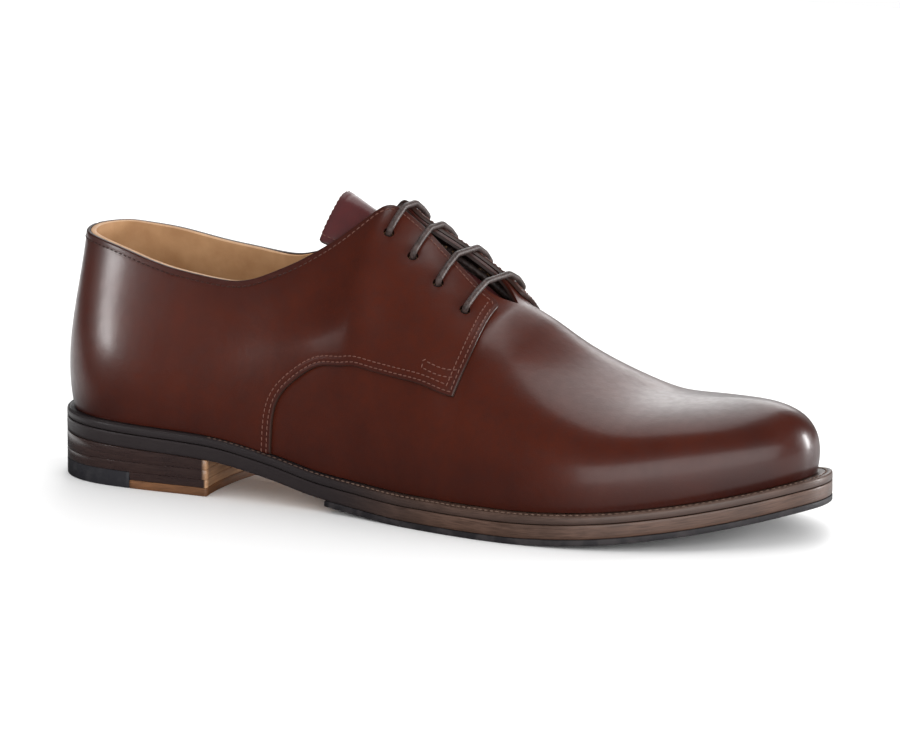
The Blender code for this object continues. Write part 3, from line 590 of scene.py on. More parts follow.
def skin(side, around, up, out=0.0):
    """Places out from the upper's outer face, which is the last less its sink, plus the give of the calf."""
    around, up = (np.asarray(a, float) for a in np.broadcast_arrays(around, up))
    off = out - sink(around, up) + give(around, up)
    made = last(side, around, up) + facing_out(side, around, up) * off[..., None]
    made[..., 2] += CLEAR
    return made


def both_sides(around, up, out):
    """A grid over the whole shoe, its columns from the lateral back round the toe to the medial back, closed
    along the ridge ahead of the throat."""
    lateral, medial = (skin(side, around[None], up[:, None], out) for side in (-1, 1))
    ridge = around >= THROAT_END
    lateral[-1, ridge] = medial[-1, ridge] = (lateral[-1, ridge] + medial[-1, ridge]) / 2
    lateral[:, -1] = medial[:, -1] = (lateral[:, -1] + medial[:, -1]) / 2
    return np.concatenate([lateral, medial[:, -2::-1]], axis=1)


def walls(outer, inner, ridge=(), back=True):
    """The strips that close a shell at its foot, at its top but for the ridge's columns, and at its back."""
    made = [np.stack([outer[0], inner[0]])]
    open_top = ~np.isin(np.arange(outer.shape[1]), ridge)
    edges = np.flatnonzero(np.diff(np.r_[False, open_top, False].astype(int)))
    for start, end in zip(edges[::2], edges[1::2]):
        span = slice(max(start - 1, 0), end + 1)
        top = np.stack([outer[-1, span], inner[-1, span]])
        middle = top.mean(axis=0) + (0, 0, 0.25 * MM)
        made.append(np.stack([top[0], middle, top[1]]))
    if back:
        made += [np.stack([outer[:, column], inner[:, column]]) for column in (0, -1)]
    return made


def calf_group():
    """Dyed and polished calf: a mid brown, clouded, with the deeper tone where shade is high, as towards toe,
    heel and seams, and nearly black on raw edges, where edge counts the distance from the cut."""
    brown = (0.03, 0.01, 0.01, 1)
    tones = [(label, "NodeSocketColor", brown) for label in ("Mid", "Deep", "Raw")]
    tones += [(label, "NodeSocketFloat", 0) for label in ("Clouds", "Flecks", "Shade", "Edge")]
    outs = [("Color", "NodeSocketColor"), ("Dull", "NodeSocketFloat")]
    tree, given, made = node_group("calf_dye", tones, outs)
    cloudy = calc(tree, "MULTIPLY_ADD", given["Clouds"], 0.35, given["Shade"])
    base = mix(tree, cloudy, given["Mid"], given["Deep"])
    flecked = mix(tree, calc(tree, "MULTIPLY", given["Flecks"], 0.16), base, given["Deep"])
    near = ramp(tree, given["Edge"], 0.5 * MM, 3.0 * MM, 0.45, 0.0)
    rubbed = mix(tree, near, flecked, given["Deep"])
    cut = ramp(tree, given["Edge"], 0.12 * MM, 0.45 * MM, 1.0, 0.0)
    tree.links.new(mix(tree, cut, rubbed, given["Raw"]), made["Color"])
    tree.links.new(calc(tree, "MAXIMUM", near, cut), made["Dull"])
    return tree


CALF_DYE = calf_group()
CALF_MID = (0.055, 0.0086, 0.0030, 1)
CALF_DEEP = (0.026, 0.0048, 0.0030, 1)
CALF_RAW = (0.030, 0.012, 0.008, 1)


def polished_calf(name, mid=CALF_MID, deep=CALF_DEEP):
    """Polished calf with a soft, slightly uneven gloss under a clear wax coat."""
    made, tree, shader = material(name, 0.36, coat=0.28, coat_roughness=0.2, specular=0.24)
    pores = grain(tree, 0.55 * MM, 16 * MM)
    dye = node(tree, "ShaderNodeGroup", node_tree=CALF_DYE)
    dye.inputs["Mid"].default_value = mid
    dye.inputs["Deep"].default_value = deep
    dye.inputs["Raw"].default_value = CALF_RAW
    for key in ("Clouds", "Flecks"):
        tree.links.new(pores[key], dye.inputs[key])
    for key, mark in (("Shade", "shade"), ("Edge", "edge")):
        tree.links.new(node(tree, "ShaderNodeAttribute", attribute_name=mark).outputs["Fac"], dye.inputs[key])
    rough = calc(tree, "MULTIPLY_ADD", pores["Flecks"], 0.06, 0.325)
    rough = calc(tree, "MULTIPLY_ADD", dye.outputs["Dull"], 0.2, rough)
    uneven = calc(tree, "MULTIPLY_ADD", pores["Flecks"], 1.1, pores["Height"])
    feed(tree, shader, dye.outputs["Color"], rough, uneven, lift=0.017 * MM)
    return made


def burnish(around, up):
    """Shade of the polish, 0 to 1: deeper towards toe and heel, along the welt and under the top edge."""
    toe, heel = ease(around, 0.70, 1.0), 1 - ease(around, 0.02, 0.22)
    foot, top = 1 - ease(up, 0.0, 0.28), ease(up, 0.75, 1.0) * (around < 0.45)
    return np.clip(0.45 * toe + 0.45 * heel + 0.40 * foot + 0.25 * top, 0, 1)


calf = polished_calf("polished_calf")
VAMP_BACK = 0.31
vamp_around = np.r_[np.linspace(VAMP_BACK, THROAT_END, 72), np.linspace(THROAT_END, 1, 120)[1:]]
vamp_up = np.r_[np.linspace(0, 0.06, 6), np.linspace(0.06, 1, 70)[1:]]
vamp_out = both_sides(vamp_around, vamp_up, 0.0)
vamp_in = both_sides(vamp_around, vamp_up, -VAMP_CALF)
vamp_ridge = np.flatnonzero(np.r_[vamp_around, vamp_around[-2::-1]] >= THROAT_END)
vamp_grids = [vamp_out, vamp_in, *walls(vamp_out, vamp_in, vamp_ridge)]
vamp_shade = burnish(vamp_around[None], vamp_up[:, None])
vamp_shade = np.concatenate([vamp_shade, vamp_shade[:, -2::-1]], axis=1)
shades = [vamp_shade, vamp_shade] + [0.5] * (len(vamp_grids) - 2)
vamp_marks = {"shade": shades, "edge": [1.0] * len(vamp_grids)}
made_of("vamp", vamp_grids, calf, marks=vamp_marks)

# Lining: soft tan leather cut a little lower than the calf, sewn to it round the collar. It lines the whole
# inside and carries the quarters at the heel.
lining_around = np.r_[np.linspace(0, THROAT_END, 130), np.linspace(THROAT_END, 1, 60)[1:]]
lining_up = np.linspace(0, 1, 44)
lining_off = -0.02 * MM - (VAMP_CALF + 0.08 * MM) * ease(lining_around, 0.24, 0.30)
lining_out = both_sides(lining_around, lining_up, lining_off[None])
lining_in = both_sides(lining_around, lining_up, -UPPER_WALL)
lining_ridge = np.flatnonzero(np.r_[lining_around, lining_around[-2::-1]] >= THROAT_END)
# Its facings' inside gets a near-black tone: painted shade of the throat
lining_leather = soft_leather(
    "lining_leather", (0.43, 0.25, 0.125), (0.33, 0.175, 0.08), 0.58, coat=0.05, painted_shade_tone=(0.020, 0.008, 0.006)
)
lining_grids = [lining_out, lining_in, *walls(lining_out, lining_in, lining_ridge, back=False)]
top_edge = CURVES[-1][3]


def facing_painted_shade(grid):
    """1 on the facings' inside, to 19 mm below their top edge, painted nearly black as painted shade of the
    throat; else 0.
    """
    reach, height = grid[..., 0] / SOLE_LENGTH, grid[..., 2]
    edge = np.interp(grid[..., 0], top_edge[:, 0], top_edge[:, 2])
    near_top = ease(height, edge - 24 * MM, edge - 19 * MM)
    return near_top * ease(reach, 0.42, 0.45) * (1 - ease(reach, 0.62, 0.64))


# shade here is painted shade: the throat's shadow on the facings' inside
lining_marks = {"shade": [facing_painted_shade(grid) for grid in lining_grids]}
lining = made_of("lining", lining_grids, lining_leather, marks=lining_marks)
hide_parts("upper")

# Quarters: two pieces of the same calf, lapped over vamp and lining and closed by a seam at the back. They
# carry the facings with four plain lace holes a side, and are sewn down with a double row.
HOLE_RADIUS = 2.0 * MM
# Lines and places on a side of the last: the lap from the welt up to the facing's lower corner, the facing's
# upper end and its front edge, and the middles of the lace holes
Seam = namedtuple("Seam", "around up")
QUARTER_SEAM = (
    Seam(0.3380, 0.000),
    Seam(0.3395, 0.090),
    Seam(0.3415, 0.167),
    Seam(0.3455, 0.237),
    Seam(0.3530, 0.297),
    Seam(0.3650, 0.347),
    Seam(0.3800, 0.385),
    Seam(0.3960, 0.402),
    Seam(0.4160, 0.380),
    Seam(0.4400, 0.344),
    Seam(0.4710, 0.343),
    Seam(0.5030, 0.367),
    Seam(0.5270, 0.386),
    Seam(0.5510, 0.392),
    Seam(0.5740, 0.378),
)
FACING_EDGE = (
    Seam(0.4900, 1.000),
    Seam(0.5170, 0.992),
    Seam(0.5410, 0.980),
    Seam(0.5580, 0.962),
    Seam(0.5690, 0.935),
    Seam(0.5745, 0.890),
)
QUARTER_FRONT = (
    Seam(0.5740, 0.378),
    Seam(0.5775, 0.480),
    Seam(0.5785, 0.600),
    Seam(0.5760, 0.780),
    Seam(0.5745, 0.890),
)
EYELETS = (
    Seam(0.459, 0.872),
    Seam(0.487, 0.850),
    Seam(0.518, 0.828),
    Seam(0.553, 0.802),
)
BACK_SEAM = 0.0006
DOUBLE_ROW = (1.5 * MM, 3.6 * MM)
SINGLE_ROW = 2.4 * MM
GROOVE_DEPTH = 0.07 * MM
STITCH_PITCH = 2.15 * MM
STITCH_LENGTH = 1.75 * MM
THREAD_RADIUS = 0.24 * MM
THREAD_WELD = 0.001 * MM
SHOULDER = 0.55 * MM
HOLE_DIP = 0.25 * MM
HOLE_DIP_REACH = 3.2 * MM
# Reach of the painted shade that darkens the calf round each lace hole
HOLE_PAINTED_SHADE_REACH = 4 * MM
BACK_GROOVE = 0.5 * MM
# Distances from an edge at which its grid has lines, closest together where the edge is rounded
NEAR = np.array((0, 0.08, 0.2, 0.36, 0.58, 0.85, 1.2, 1.5, 1.9, 2.4, 3.0, 3.6, 4.3, 5.2)) * MM
FLAT_SIZE = np.array((AROUND_LENGTH, UP_LENGTH))


def lengths(line, size=1.0):
    """Distance run along a line of places, 0 at its start."""
    return np.r_[0, np.cumsum(np.linalg.norm(np.diff(line, axis=0) * size, axis=1))]


def smooth_line(rows):
    """A natural spline through a table's places, as (around, up) every 0.4 mm or so."""
    places = np.array([(row.around, row.up) for row in rows])
    along = lengths(places, FLAT_SIZE)
    at = np.linspace(0, along[-1], int(along[-1] / (0.4 * MM)) + 2)
    return np.minimum(np.stack([spline(along, places[:, k], at) for k in (0, 1)], axis=1), 1)


def straight(start, end, count=400):
    """Even steps from one place to another."""
    return np.linspace(start, end, count)


def read_line(line, share, size=1.0):
    """A line of places read at shares of its length."""
    along = lengths(line, size)
    return np.stack([np.interp(share * along[-1], along, line[:, k]) for k in range(line.shape[1])], axis=-1)


def nearness(points, line):
    """Distance of each place from a line of places: to its nearest corner and the two stretches beside it."""
    flat = points.reshape(-1, 3)
    square = (flat**2).sum(1)[:, None] + (line**2).sum(1)[None] - 2 * flat @ line.T
    near = np.clip(square.argmin(axis=1), 1, len(line) - 2)
    best = np.full(len(flat), np.inf)
    for first in (near - 1, near):
        start, run = line[first], line[first + 1] - line[first]
        share = np.clip(((flat - start) * run).sum(1) / np.maximum((run**2).sum(1), 1e-18), 0, 1)
        best = np.minimum(best, np.linalg.norm(flat - start - run * share[:, None], axis=1))
    return best.reshape(points.shape[:-1])


def inset(side, line, by):
    """A line on the surface moved to its left by a distance, with the surface's own slopes as the measure."""
    around, up = line.T
    ahead, rising = slopes(side, around, up)
    step = np.gradient(line, axis=0)
    run = ahead * step[:, :1] + rising * step[:, 1:]
    run /= np.linalg.norm(run, axis=1)[:, None]
    left = np.cross(np.cross(ahead, rising), run)
    left *= by / np.linalg.norm(left, axis=1)[:, None]
    aa, ab, bb = ((x * y).sum(1) for x, y in ((ahead, ahead), (ahead, rising), (rising, rising)))
    a, b = (ahead * left).sum(1), (rising * left).sum(1)
    moved = np.column_stack([a * bb - b * ab, b * aa - a * ab]) / (aa * bb - ab * ab)[:, None]
    return line + moved


def shoulder(near, radius):
    """Drop of a rounded edge: the quarter circle 1 less the root of 1 less (1 less distance) squared."""
    rest = 1 - np.clip(near / radius, 0, 1)
    return radius * (1 - np.sqrt(np.maximum(1 - rest**2, 0)))


def groove(near, at, depth, width=0.35 * MM):
    """A row's groove: a bell of that depth across the line at this distance from an edge."""
    return depth * np.exp(-0.5 * ((near - at) / width) ** 2)


feather_line = straight((BACK_SEAM, 0), (QUARTER_SEAM[0].around, 0))
seam_line = smooth_line(QUARTER_SEAM)
front_line = smooth_line(QUARTER_FRONT)
facing_line = smooth_line(FACING_EDGE)[::-1]
top_line = straight((FACING_EDGE[0].around, 1), (BACK_SEAM, 1), 700)
low_line = np.concatenate([feather_line, seam_line[1:]])
high_line = np.concatenate([facing_line, top_line[1:]])[::-1]


def quarter_grid(side):
    """(around, up) over a quarter: lines between its low and high borders, bent to its front edge (a Coons
    patch), closer together towards every edge so that the edges can be rounded."""
    low_length, high_length = (lengths(line, FLAT_SIZE)[-1] for line in (low_line, high_line))
    corner = lengths(feather_line, FLAT_SIZE)[-1] / low_length
    ends = NEAR[::-1] / (0.5 * (low_length + high_length))
    a = np.r_[np.linspace(0, corner, 62), np.linspace(corner, 1 - ends[0], 84)[1:], 1 - ends[1:]]
    low, high = read_line(low_line, a, FLAT_SIZE), read_line(high_line, a, FLAT_SIZE)
    t = np.linspace(0, 1, 24)[:, None, None]
    rough = low * (1 - t) + high * t
    path = last(side, rough[..., 0], rough[..., 1])
    tall = np.linalg.norm(np.diff(path, axis=0), axis=-1).sum(axis=0)
    near = NEAR[:, None] / tall
    middle = np.linspace(0, 1, 32)[1:-1, None]
    b = np.concatenate([near, near[-1] + middle * (1 - 2 * near[-1]), 1 - near[::-1]])
    front = read_line(front_line, b, FLAT_SIZE)
    bow = front - front_line[0] * (1 - b[..., None]) - front_line[-1] * b[..., None]
    return low * (1 - b[..., None]) + high * b[..., None] + a[:, None] ** 6 * bow


def cord_along(side, line, out, pitch):
    """Places along a line on the surface at an even pitch, each with the line's direction and the normal."""
    path = skin(side, *line.T, out)
    along = lengths(path)
    at = (np.arange(max(int(along[-1] / pitch), 1)) + 0.5) * pitch
    read = [np.interp(at, along, line[:, k]) for k in (0, 1)]
    places = np.stack([np.interp(at, along, path[:, k]) for k in range(3)], axis=1)
    step = np.stack([np.interp(at, along, np.gradient(path[:, k])) for k in range(3)], axis=1)
    return places, step / np.linalg.norm(step, axis=1)[:, None], facing_out(side, *read)


def stitch_grid(places, along, normal, length, radius, rise=0.05 * MM, dip=0.24 * MM, slant=0.0):
    """Stitches as short round threads: thinner towards both ends, where they dip into their holes."""
    aside = np.cross(normal, along)
    along = along * math.cos(slant) + aside * math.sin(slant)
    aside = np.cross(normal, along)
    t = np.array((-1, -0.86, -0.5, 0, 0.5, 0.86, 1))
    thick = radius * np.array((0, 0.66, 0.94, 1, 0.94, 0.66, 0))
    turn = np.linspace(0, 2 * math.pi, 7)
    lift = rise - dip * np.abs(t) ** 3
    centre = places[:, None] + along[:, None] * (t * length / 2)[:, None] + normal[:, None] * lift[:, None]
    spoke = aside[:, None] * np.cos(turn)[:, None] + normal[:, None] * np.sin(turn)[:, None]
    return centre[:, :, None] + spoke[:, None] * thick[:, None, None]


def thread(name, pale, deep):
    """Twisted waxed thread: fine slanting lines, and the polish's tone where shade is high."""
    made, tree, shader = material(name, 0.6, specular=0.25)
    where = node(tree, "ShaderNodeTexCoord").outputs["Object"]
    wave = node(tree, "ShaderNodeTexWave", {"Vector": where, "Scale": 1100.0, "Distortion": 1.5})
    wave.bands_direction = "DIAGONAL"
    shade = node(tree, "ShaderNodeAttribute", attribute_name="shade").outputs["Fac"]
    tone = mix(tree, shade, (*pale, 1), (*deep, 1))
    tone = mix(tree, ramp(tree, wave.outputs["Fac"], 0, 1, 0.0, 0.35), tone, (*deep, 1))
    feed(tree, shader, tone, height=wave.outputs["Fac"], lift=0.04 * MM)
    return made


def hole_punch(sides=28):
    """Pins through all lace holes, as one cutter."""
    turn = np.linspace(0, 2 * math.pi, sides + 1)[:, None]
    pins = []
    for side in (-1, 1):
        for eyelet in EYELETS:
            ends = skin(side, eyelet.around, eyelet.up, np.array((-5, 5)) * MM)
            axis = (ends[1] - ends[0]) / np.linalg.norm(ends[1] - ends[0])
            first = np.cross(axis, (1.0, 0, 0))
            first /= np.linalg.norm(first)
            ring = HOLE_RADIUS * (np.cos(turn) * first + np.sin(turn) * np.cross(axis, first))
            pins.append(np.stack([np.broadcast_to(ends[0], ring.shape), ends[0] + ring, ends[1] + ring,
                                  np.broadcast_to(ends[1], ring.shape)]))
    return pins


def punched(piece, punch):
    """The piece with the lace holes cut through it and their rims kept crisp."""
    holes = piece.modifiers.new("holes", "BOOLEAN")
    holes.operation, holes.solver, holes.object = "DIFFERENCE", "EXACT", punch
    cut = bpy.data.meshes.new_from_object(piece.evaluated_get(bpy.context.evaluated_depsgraph_get()))
    piece.modifiers.clear()
    piece.data = cut
    cut.set_sharp_from_angle(angle=math.radians(40))


punch = made_of("hole_punch", hole_punch(), calf)
pale_thread = thread("pale_thread", (0.160, 0.066, 0.048), (0.028, 0.010, 0.007))
border_line = np.concatenate([seam_line, front_line[1:], high_line[::-1][1:]])
lap_line = np.concatenate([seam_line, front_line])
back_line = straight((BACK_SEAM, 1), (BACK_SEAM, 0), 200)
cover = QUARTER + CLEAR
for side, name in ((-1, "lateral"), (1, "medial")):
    places = quarter_grid(side)
    around, up = places[..., 0], np.clip(places[..., 1], 0, 1)
    flat = skin(side, around, up, cover)
    lines = (border_line, lap_line, high_line, back_line)
    edge, twice, once, back = (nearness(flat, skin(side, *line.T, cover)) for line in lines)
    holes = skin(side, np.array([e.around for e in EYELETS]), np.array([e.up for e in EYELETS]), cover)
    hole = np.min([np.linalg.norm(flat - place_of, axis=-1) for place_of in holes], axis=0)
    out = cover - shoulder(edge, SHOULDER) - HOLE_DIP * np.exp(-((hole / HOLE_DIP_REACH) ** 2))
    out = out - sum(groove(twice, at, GROOVE_DEPTH) for at in DOUBLE_ROW)
    out = out - groove(once, SINGLE_ROW, GROOVE_DEPTH)
    out = out - groove(back, 0, BACK_GROOVE, BACK_GROOVE)
    outer, inner = skin(side, around, up, out), skin(side, around, up, CLEAR)
    # The polish's burnish, and painted shade that darkens the calf round each lace hole and its dip
    shade = np.maximum(burnish(around, up), 0.55 * np.exp(-((hole / HOLE_PAINTED_SHADE_REACH) ** 2)))
    rims = [np.stack([outer[k], inner[k]]) for k in (0, -1)]
    rims += [np.stack([outer[:, k], inner[:, k]]) for k in (0, -1)]
    marks = {"shade": [shade, shade, *[0.6] * 4], "edge": [edge, edge, *[0.0] * 4]}
    grids = [outer, inner, *rims]
    quarter = made_of(f"quarter_{name}_calf", grids, calf, (f"quarter_{name}",), marks)
    punched(quarter, punch)

    # Its stitching: a double row down the front edge and along the lap, one row under the top edge, a small
    # tack at the lower corner of the facing, and the close seam at the back
    seam3, front3, high3 = (skin(side, *line.T, cover) for line in (seam_line, front_line, high_line))
    rows = []
    for by in DOUBLE_ROW:
        low_row, front_row = inset(side, seam_line, by), inset(side, front_line, by)
        low_row = low_row[nearness(skin(side, *low_row.T, cover), front3) > by]
        front_row = front_row[nearness(skin(side, *front_row.T, cover), seam3) > by]
        front_row = front_row[nearness(skin(side, *front_row.T, cover), high3) > SINGLE_ROW]
        rows.append(np.concatenate([low_row, front_row]))
    top_row = inset(side, high_line[::-1], SINGLE_ROW)
    rows.append(top_row[nearness(skin(side, *top_row.T, cover), front3) > DOUBLE_ROW[0]])
    tack = np.array(((0.5715, 0.492), (0.533, 0.487), (0.532, 0.455), (0.5705, 0.460)))
    rows.append(read_line(tack, np.linspace(0, 1, 160), FLAT_SIZE))
    grids, tones = [], []
    for k, row in enumerate(rows):
        rooted = cord_along(side, row, cover - 0.02 * MM, STITCH_PITCH)
        grids.append(stitch_grid(*rooted, STITCH_LENGTH, THREAD_RADIUS, slant=math.radians(4)))
        reach = rooted[0][:, 0] / SOLE_LENGTH
        heel_side = 0.85 * (1 - ease(reach, 0.28, 0.44)) + 0.25 if k == len(DOUBLE_ROW) else 0.15 + 0 * reach
        tones.append(heel_side[:, None, None])
    made_of(f"stitches_{name}", grids, pale_thread, (), {"shade": tones}, THREAD_WELD)

for piece in ("vamp", "lining"):
    punched(bpy.data.objects[piece], punch)
bpy.data.objects.remove(punch)

# Tongue: one piece of the calf with its own lining, sewn to the vamp under the facings. It stands beyond them
# at the top, with a row of stitches near its edge.
TONGUE = 1.6 * MM
TONGUE_BEYOND = 23 * MM
TONGUE_ROW = 2.6 * MM
TONGUE_SHOULDER = 0.5 * MM
TONGUE_GROOVE = 0.10 * MM
TONGUE_THREAD = 0.18 * MM
TONGUE_ROOM = 1.6 * MM
LACE_RADIUS = 1.2 * MM
TONGUE_UNDER = UPPER_WALL + 2 * LACE_RADIUS + TONGUE_ROOM
# The tongue's free end, from its top down: share of the way beyond the facings, and share of the width
Beyond = namedtuple("Beyond", "share narrow")
TONGUE_TOP = (
    Beyond(1.00, 0.80),
    Beyond(0.97, 0.84),
    Beyond(0.88, 0.82),
    Beyond(0.70, 0.72),
    Beyond(0.45, 0.62),
    Beyond(0.20, 0.74),
)


def tongue_rows():
    """Places of the tongue's face: across the last from side to side under the facings, and beyond them the
    first of these rows carried on up and back, each narrowed by its own share."""
    across_share = np.linspace(0, 1, 15)
    rows = []
    for around in (0.455, 0.48, 0.505, 0.53, 0.555, 0.58, 0.605, 0.63):
        ups = np.array((0.71, 0.77, 0.83, 0.89, 0.96))
        lateral, medial = (skin(side, around, ups, -TONGUE_UNDER) for side in (-1, 1))
        line = np.concatenate([lateral, medial[::-1]]) - (0, 0, CLEAR)
        along = lengths(line)
        rows.append(np.stack([spline(along, line[:, k], across_share * along[-1]) for k in range(3)], axis=1))
    first, middle = rows[0], rows[0][7]
    beyond = []
    for share, narrow in TONGUE_TOP:
        row = middle + (first - middle) * (1, narrow, 1)
        drop = (middle[2] - row[:, 2])[:, None] * share
        beyond.append(row + share * TONGUE_BEYOND * np.array((-0.9, 0.04, 0.43)) - drop * (0.35, 0, 0))
    return np.array(beyond + rows)


def finer(grid, rows, columns):
    """A grid of places read between its own rows and columns by splines, at shares that may be uneven."""
    down = np.linspace(0, 1, grid.shape[0])
    over = np.linspace(0, 1, grid.shape[1])
    half = [[spline(down, grid[:, j, k], rows) for j in range(grid.shape[1])] for k in range(3)]
    half = np.stack(half, axis=-1)
    made = [[spline(over, half[:, i, k], columns) for i in range(len(rows))] for k in range(3)]
    return np.stack(made, axis=-1)


tongue_rough = tongue_rows()
tongue_wide, tongue_long = 50 * MM, 92 * MM
ends = NEAR / tongue_wide
tongue_columns = np.r_[ends, np.linspace(ends[-1], 1 - ends[-1], 34)[1:-1], 1 - ends[::-1]]
ends = NEAR / tongue_long
tongue_share = np.r_[ends, np.linspace(ends[-1], 1, 60)[1:]]
tongue_face = finer(tongue_rough, tongue_share, tongue_columns)
tongue_normal = np.cross(np.gradient(tongue_face, axis=1), np.gradient(tongue_face, axis=0))
tongue_normal *= np.sign(tongue_normal[30, 30, 2]) / np.linalg.norm(tongue_normal, axis=-1)[..., None]
tongue_edge_line = np.concatenate([tongue_face[::-1, 0], tongue_face[0, 1:], tongue_face[1:, -1]])
tongue_edge = nearness(tongue_face, tongue_edge_line)
tongue_round = shoulder(tongue_edge, TONGUE_SHOULDER)
tongue_drop = tongue_round + groove(tongue_edge, TONGUE_ROW, TONGUE_GROOVE)
tongue_outer = tongue_face - tongue_normal * tongue_drop[..., None]
tongue_inner = tongue_face - tongue_normal * (TONGUE - 0.7 * tongue_round)[..., None]
tongue_rims = [np.stack([tongue_outer[k], tongue_inner[k]]) for k in (0, -1)]
tongue_rims += [np.stack([tongue_outer[:, k], tongue_inner[:, k]]) for k in (0, -1)]
tongue_calf = polished_calf("tongue_calf", (0.092, 0.021, 0.021, 1), (0.042, 0.010, 0.011, 1))
tongue_marks = {"shade": [0.35] * 6, "edge": [tongue_edge, tongue_edge, *[0.0] * 4]}
tongue_grids = [tongue_outer, tongue_inner, *tongue_rims]
made_of("tongue_calf", tongue_grids, tongue_calf, ("tongue",), tongue_marks)

# Its row of stitches, along the eleventh line of its grid from each edge, which runs in the groove
tongue_path, tongue_up = (
    np.concatenate([grid[:9:-1, 10], grid[10, 11:-11], grid[10:, -11]])
    for grid in (tongue_outer, tongue_normal)
)
tongue_run = lengths(tongue_path)
tongue_at = np.arange(1.0 * MM, tongue_run[-1], STITCH_PITCH)
stitch_at, stitch_up, stitch_on = (
    np.stack([np.interp(tongue_at, tongue_run, values[:, k]) for k in range(3)], axis=1)
    for values in (tongue_path, tongue_up, np.gradient(tongue_path, axis=0))
)
stitch_on /= np.linalg.norm(stitch_on, axis=1)[:, None]
stitch_up /= np.linalg.norm(stitch_up, axis=1)[:, None]
tongue_stitches = stitch_grid(stitch_at, stitch_on, stitch_up, STITCH_LENGTH, TONGUE_THREAD, rise=0.0)
made_of("stitches_tongue", [tongue_stitches], pale_thread, (), {"shade": [0.2]}, THREAD_WELD)

# Lace: a round waxed braid, run straight through the four pairs of holes. Its ends stop inside, by the top
# holes on the lateral side.
LACE_BEND = 1.3 * MM
LACE_OVER = 0.1 * MM
LACE_INSIDE = 0.55 * MM


def bent(corners, radius, steps=8):
    """The line through the corners, each of them rounded by a parabola that touches both its sides."""
    path = [corners[0]]
    for before, here, after in zip(corners, corners[1:], corners[2:]):
        back, ahead = before - here, after - here
        room = min(np.linalg.norm(back), np.linalg.norm(ahead)) / 2
        back, ahead = back / np.linalg.norm(back), ahead / np.linalg.norm(ahead)
        angle = math.acos(max(-1, min(1, float(back @ ahead))))
        if angle > math.radians(172):
            path.append(here)
            continue
        reach = min(radius / math.tan(angle / 2), room * 0.95)
        for t in np.linspace(0, 1, steps + 1):
            path.append(here + back * reach * (1 - t) ** 2 + ahead * reach * t**2)
    path.append(corners[-1])
    return np.array(path)


lace_over = CLEAR + QUARTER + LACE_OVER + LACE_RADIUS
lace_under = -(UPPER_WALL + LACE_INSIDE + LACE_RADIUS)


def lace_shaft(side, eyelet, inwards):
    """Through a hole, square to the calf: from over the facing to under it, or back."""
    ends = [skin(side, eyelet.around, eyelet.up, out) for out in (lace_over, lace_under)]
    return ends if inwards else ends[::-1]


def lace_bar(eyelet, side):
    """Over the facings from one side to the other, between the two holes' outer ends."""
    ups = (0.5 * eyelet.up + 0.5, 1.0)
    start = [skin(side, eyelet.around, up, lace_over) for up in ups]
    finish = [skin(-side, eyelet.around, up, lace_over) for up in ups]
    return start + finish[::-1]


def lace_run(side, start, end, aside=0.0):
    """Inside the facing from one hole to another, drawn aside on the way."""
    t = np.array((0.25, 0.5, 0.75))
    around = start.around + (end.around - start.around) * t
    up = start.up + (end.up - start.up) * t + aside * np.array((0.9, 1, 0.9))
    return list(skin(side, around, up, lace_under))


def lace_route():
    """The lace's corners: one end by the top hole, then up and across the holes in turn to the other end."""
    lateral, medial = -1, 1
    top, second, third, bottom = EYELETS
    aside = 0.042
    tail = Seam(top.around + 0.006, top.up - 0.045)
    path = [skin(lateral, tail.around, tail.up, lace_under)]
    path += [skin(lateral, 0.5 * (tail.around + second.around), second.up - 0.02, lace_under)]
    path += lace_shaft(lateral, second, False) + lace_bar(second, lateral) + lace_shaft(medial, second, True)
    path += lace_run(medial, second, bottom, aside)
    path += lace_shaft(medial, bottom, False) + lace_bar(bottom, medial) + lace_shaft(lateral, bottom, True)
    path += lace_run(lateral, bottom, third)[1:2]
    path += lace_shaft(lateral, third, False) + lace_bar(third, lateral) + lace_shaft(medial, third, True)
    path += lace_run(medial, third, top, -aside)
    path += lace_shaft(medial, top, False) + lace_bar(top, medial) + lace_shaft(lateral, top, True)
    return path + [skin(lateral, top.around - 0.012, top.up - 0.05, lace_under)]


def frames_along(path):
    """For each place of a path its direction and two directions square to it that don't twist on the way."""
    ahead = np.gradient(path, axis=0)
    ahead /= np.linalg.norm(ahead, axis=1)[:, None]
    aside = np.zeros_like(path)
    aside[0] = np.cross(ahead[0], (0.3, 0.2, 1.0))
    for i in range(1, len(path)):
        aside[i] = aside[i - 1] - ahead[i] * (aside[i - 1] @ ahead[i])
        aside[i] /= np.linalg.norm(aside[i])
    return ahead, aside, np.cross(ahead, aside)


def braid_grid(path, radius, sides=18, strand=1.5 * MM, raised=0.07):
    """A tube along a path whose radius swells where strands cross: the greater of two opposite spirals."""
    run = lengths(path)[:, None]
    turn = np.linspace(0, 2 * math.pi, sides + 1)[None]
    one, other = (np.cos(2 * math.pi * run / strand + sign * 4 * turn) for sign in (1, -1))
    swell = radius * (1 - raised + raised * np.maximum(one, other))
    swell[0], swell[-1] = 0, 0
    ahead, aside, up = frames_along(path)
    spokes = aside[:, None] * np.cos(turn)[..., None] + up[:, None] * np.sin(turn)[..., None]
    return path[:, None] + spokes * swell[..., None]


def waxed_braid():
    """Dark brown waxed cotton: lighter in fine flecks, dull, with a fine nap."""
    made, tree, shader = material("waxed_braid", 0.52, coat=0.16, coat_roughness=0.3, specular=0.3)
    nap = grain(tree, 0.25 * MM, 3 * MM)
    tone = mix(tree, nap["Flecks"], (0.026, 0.016, 0.014, 1), (0.062, 0.041, 0.037, 1))
    feed(tree, shader, tone, height=nap["Height"], lift=0.04 * MM)
    return made


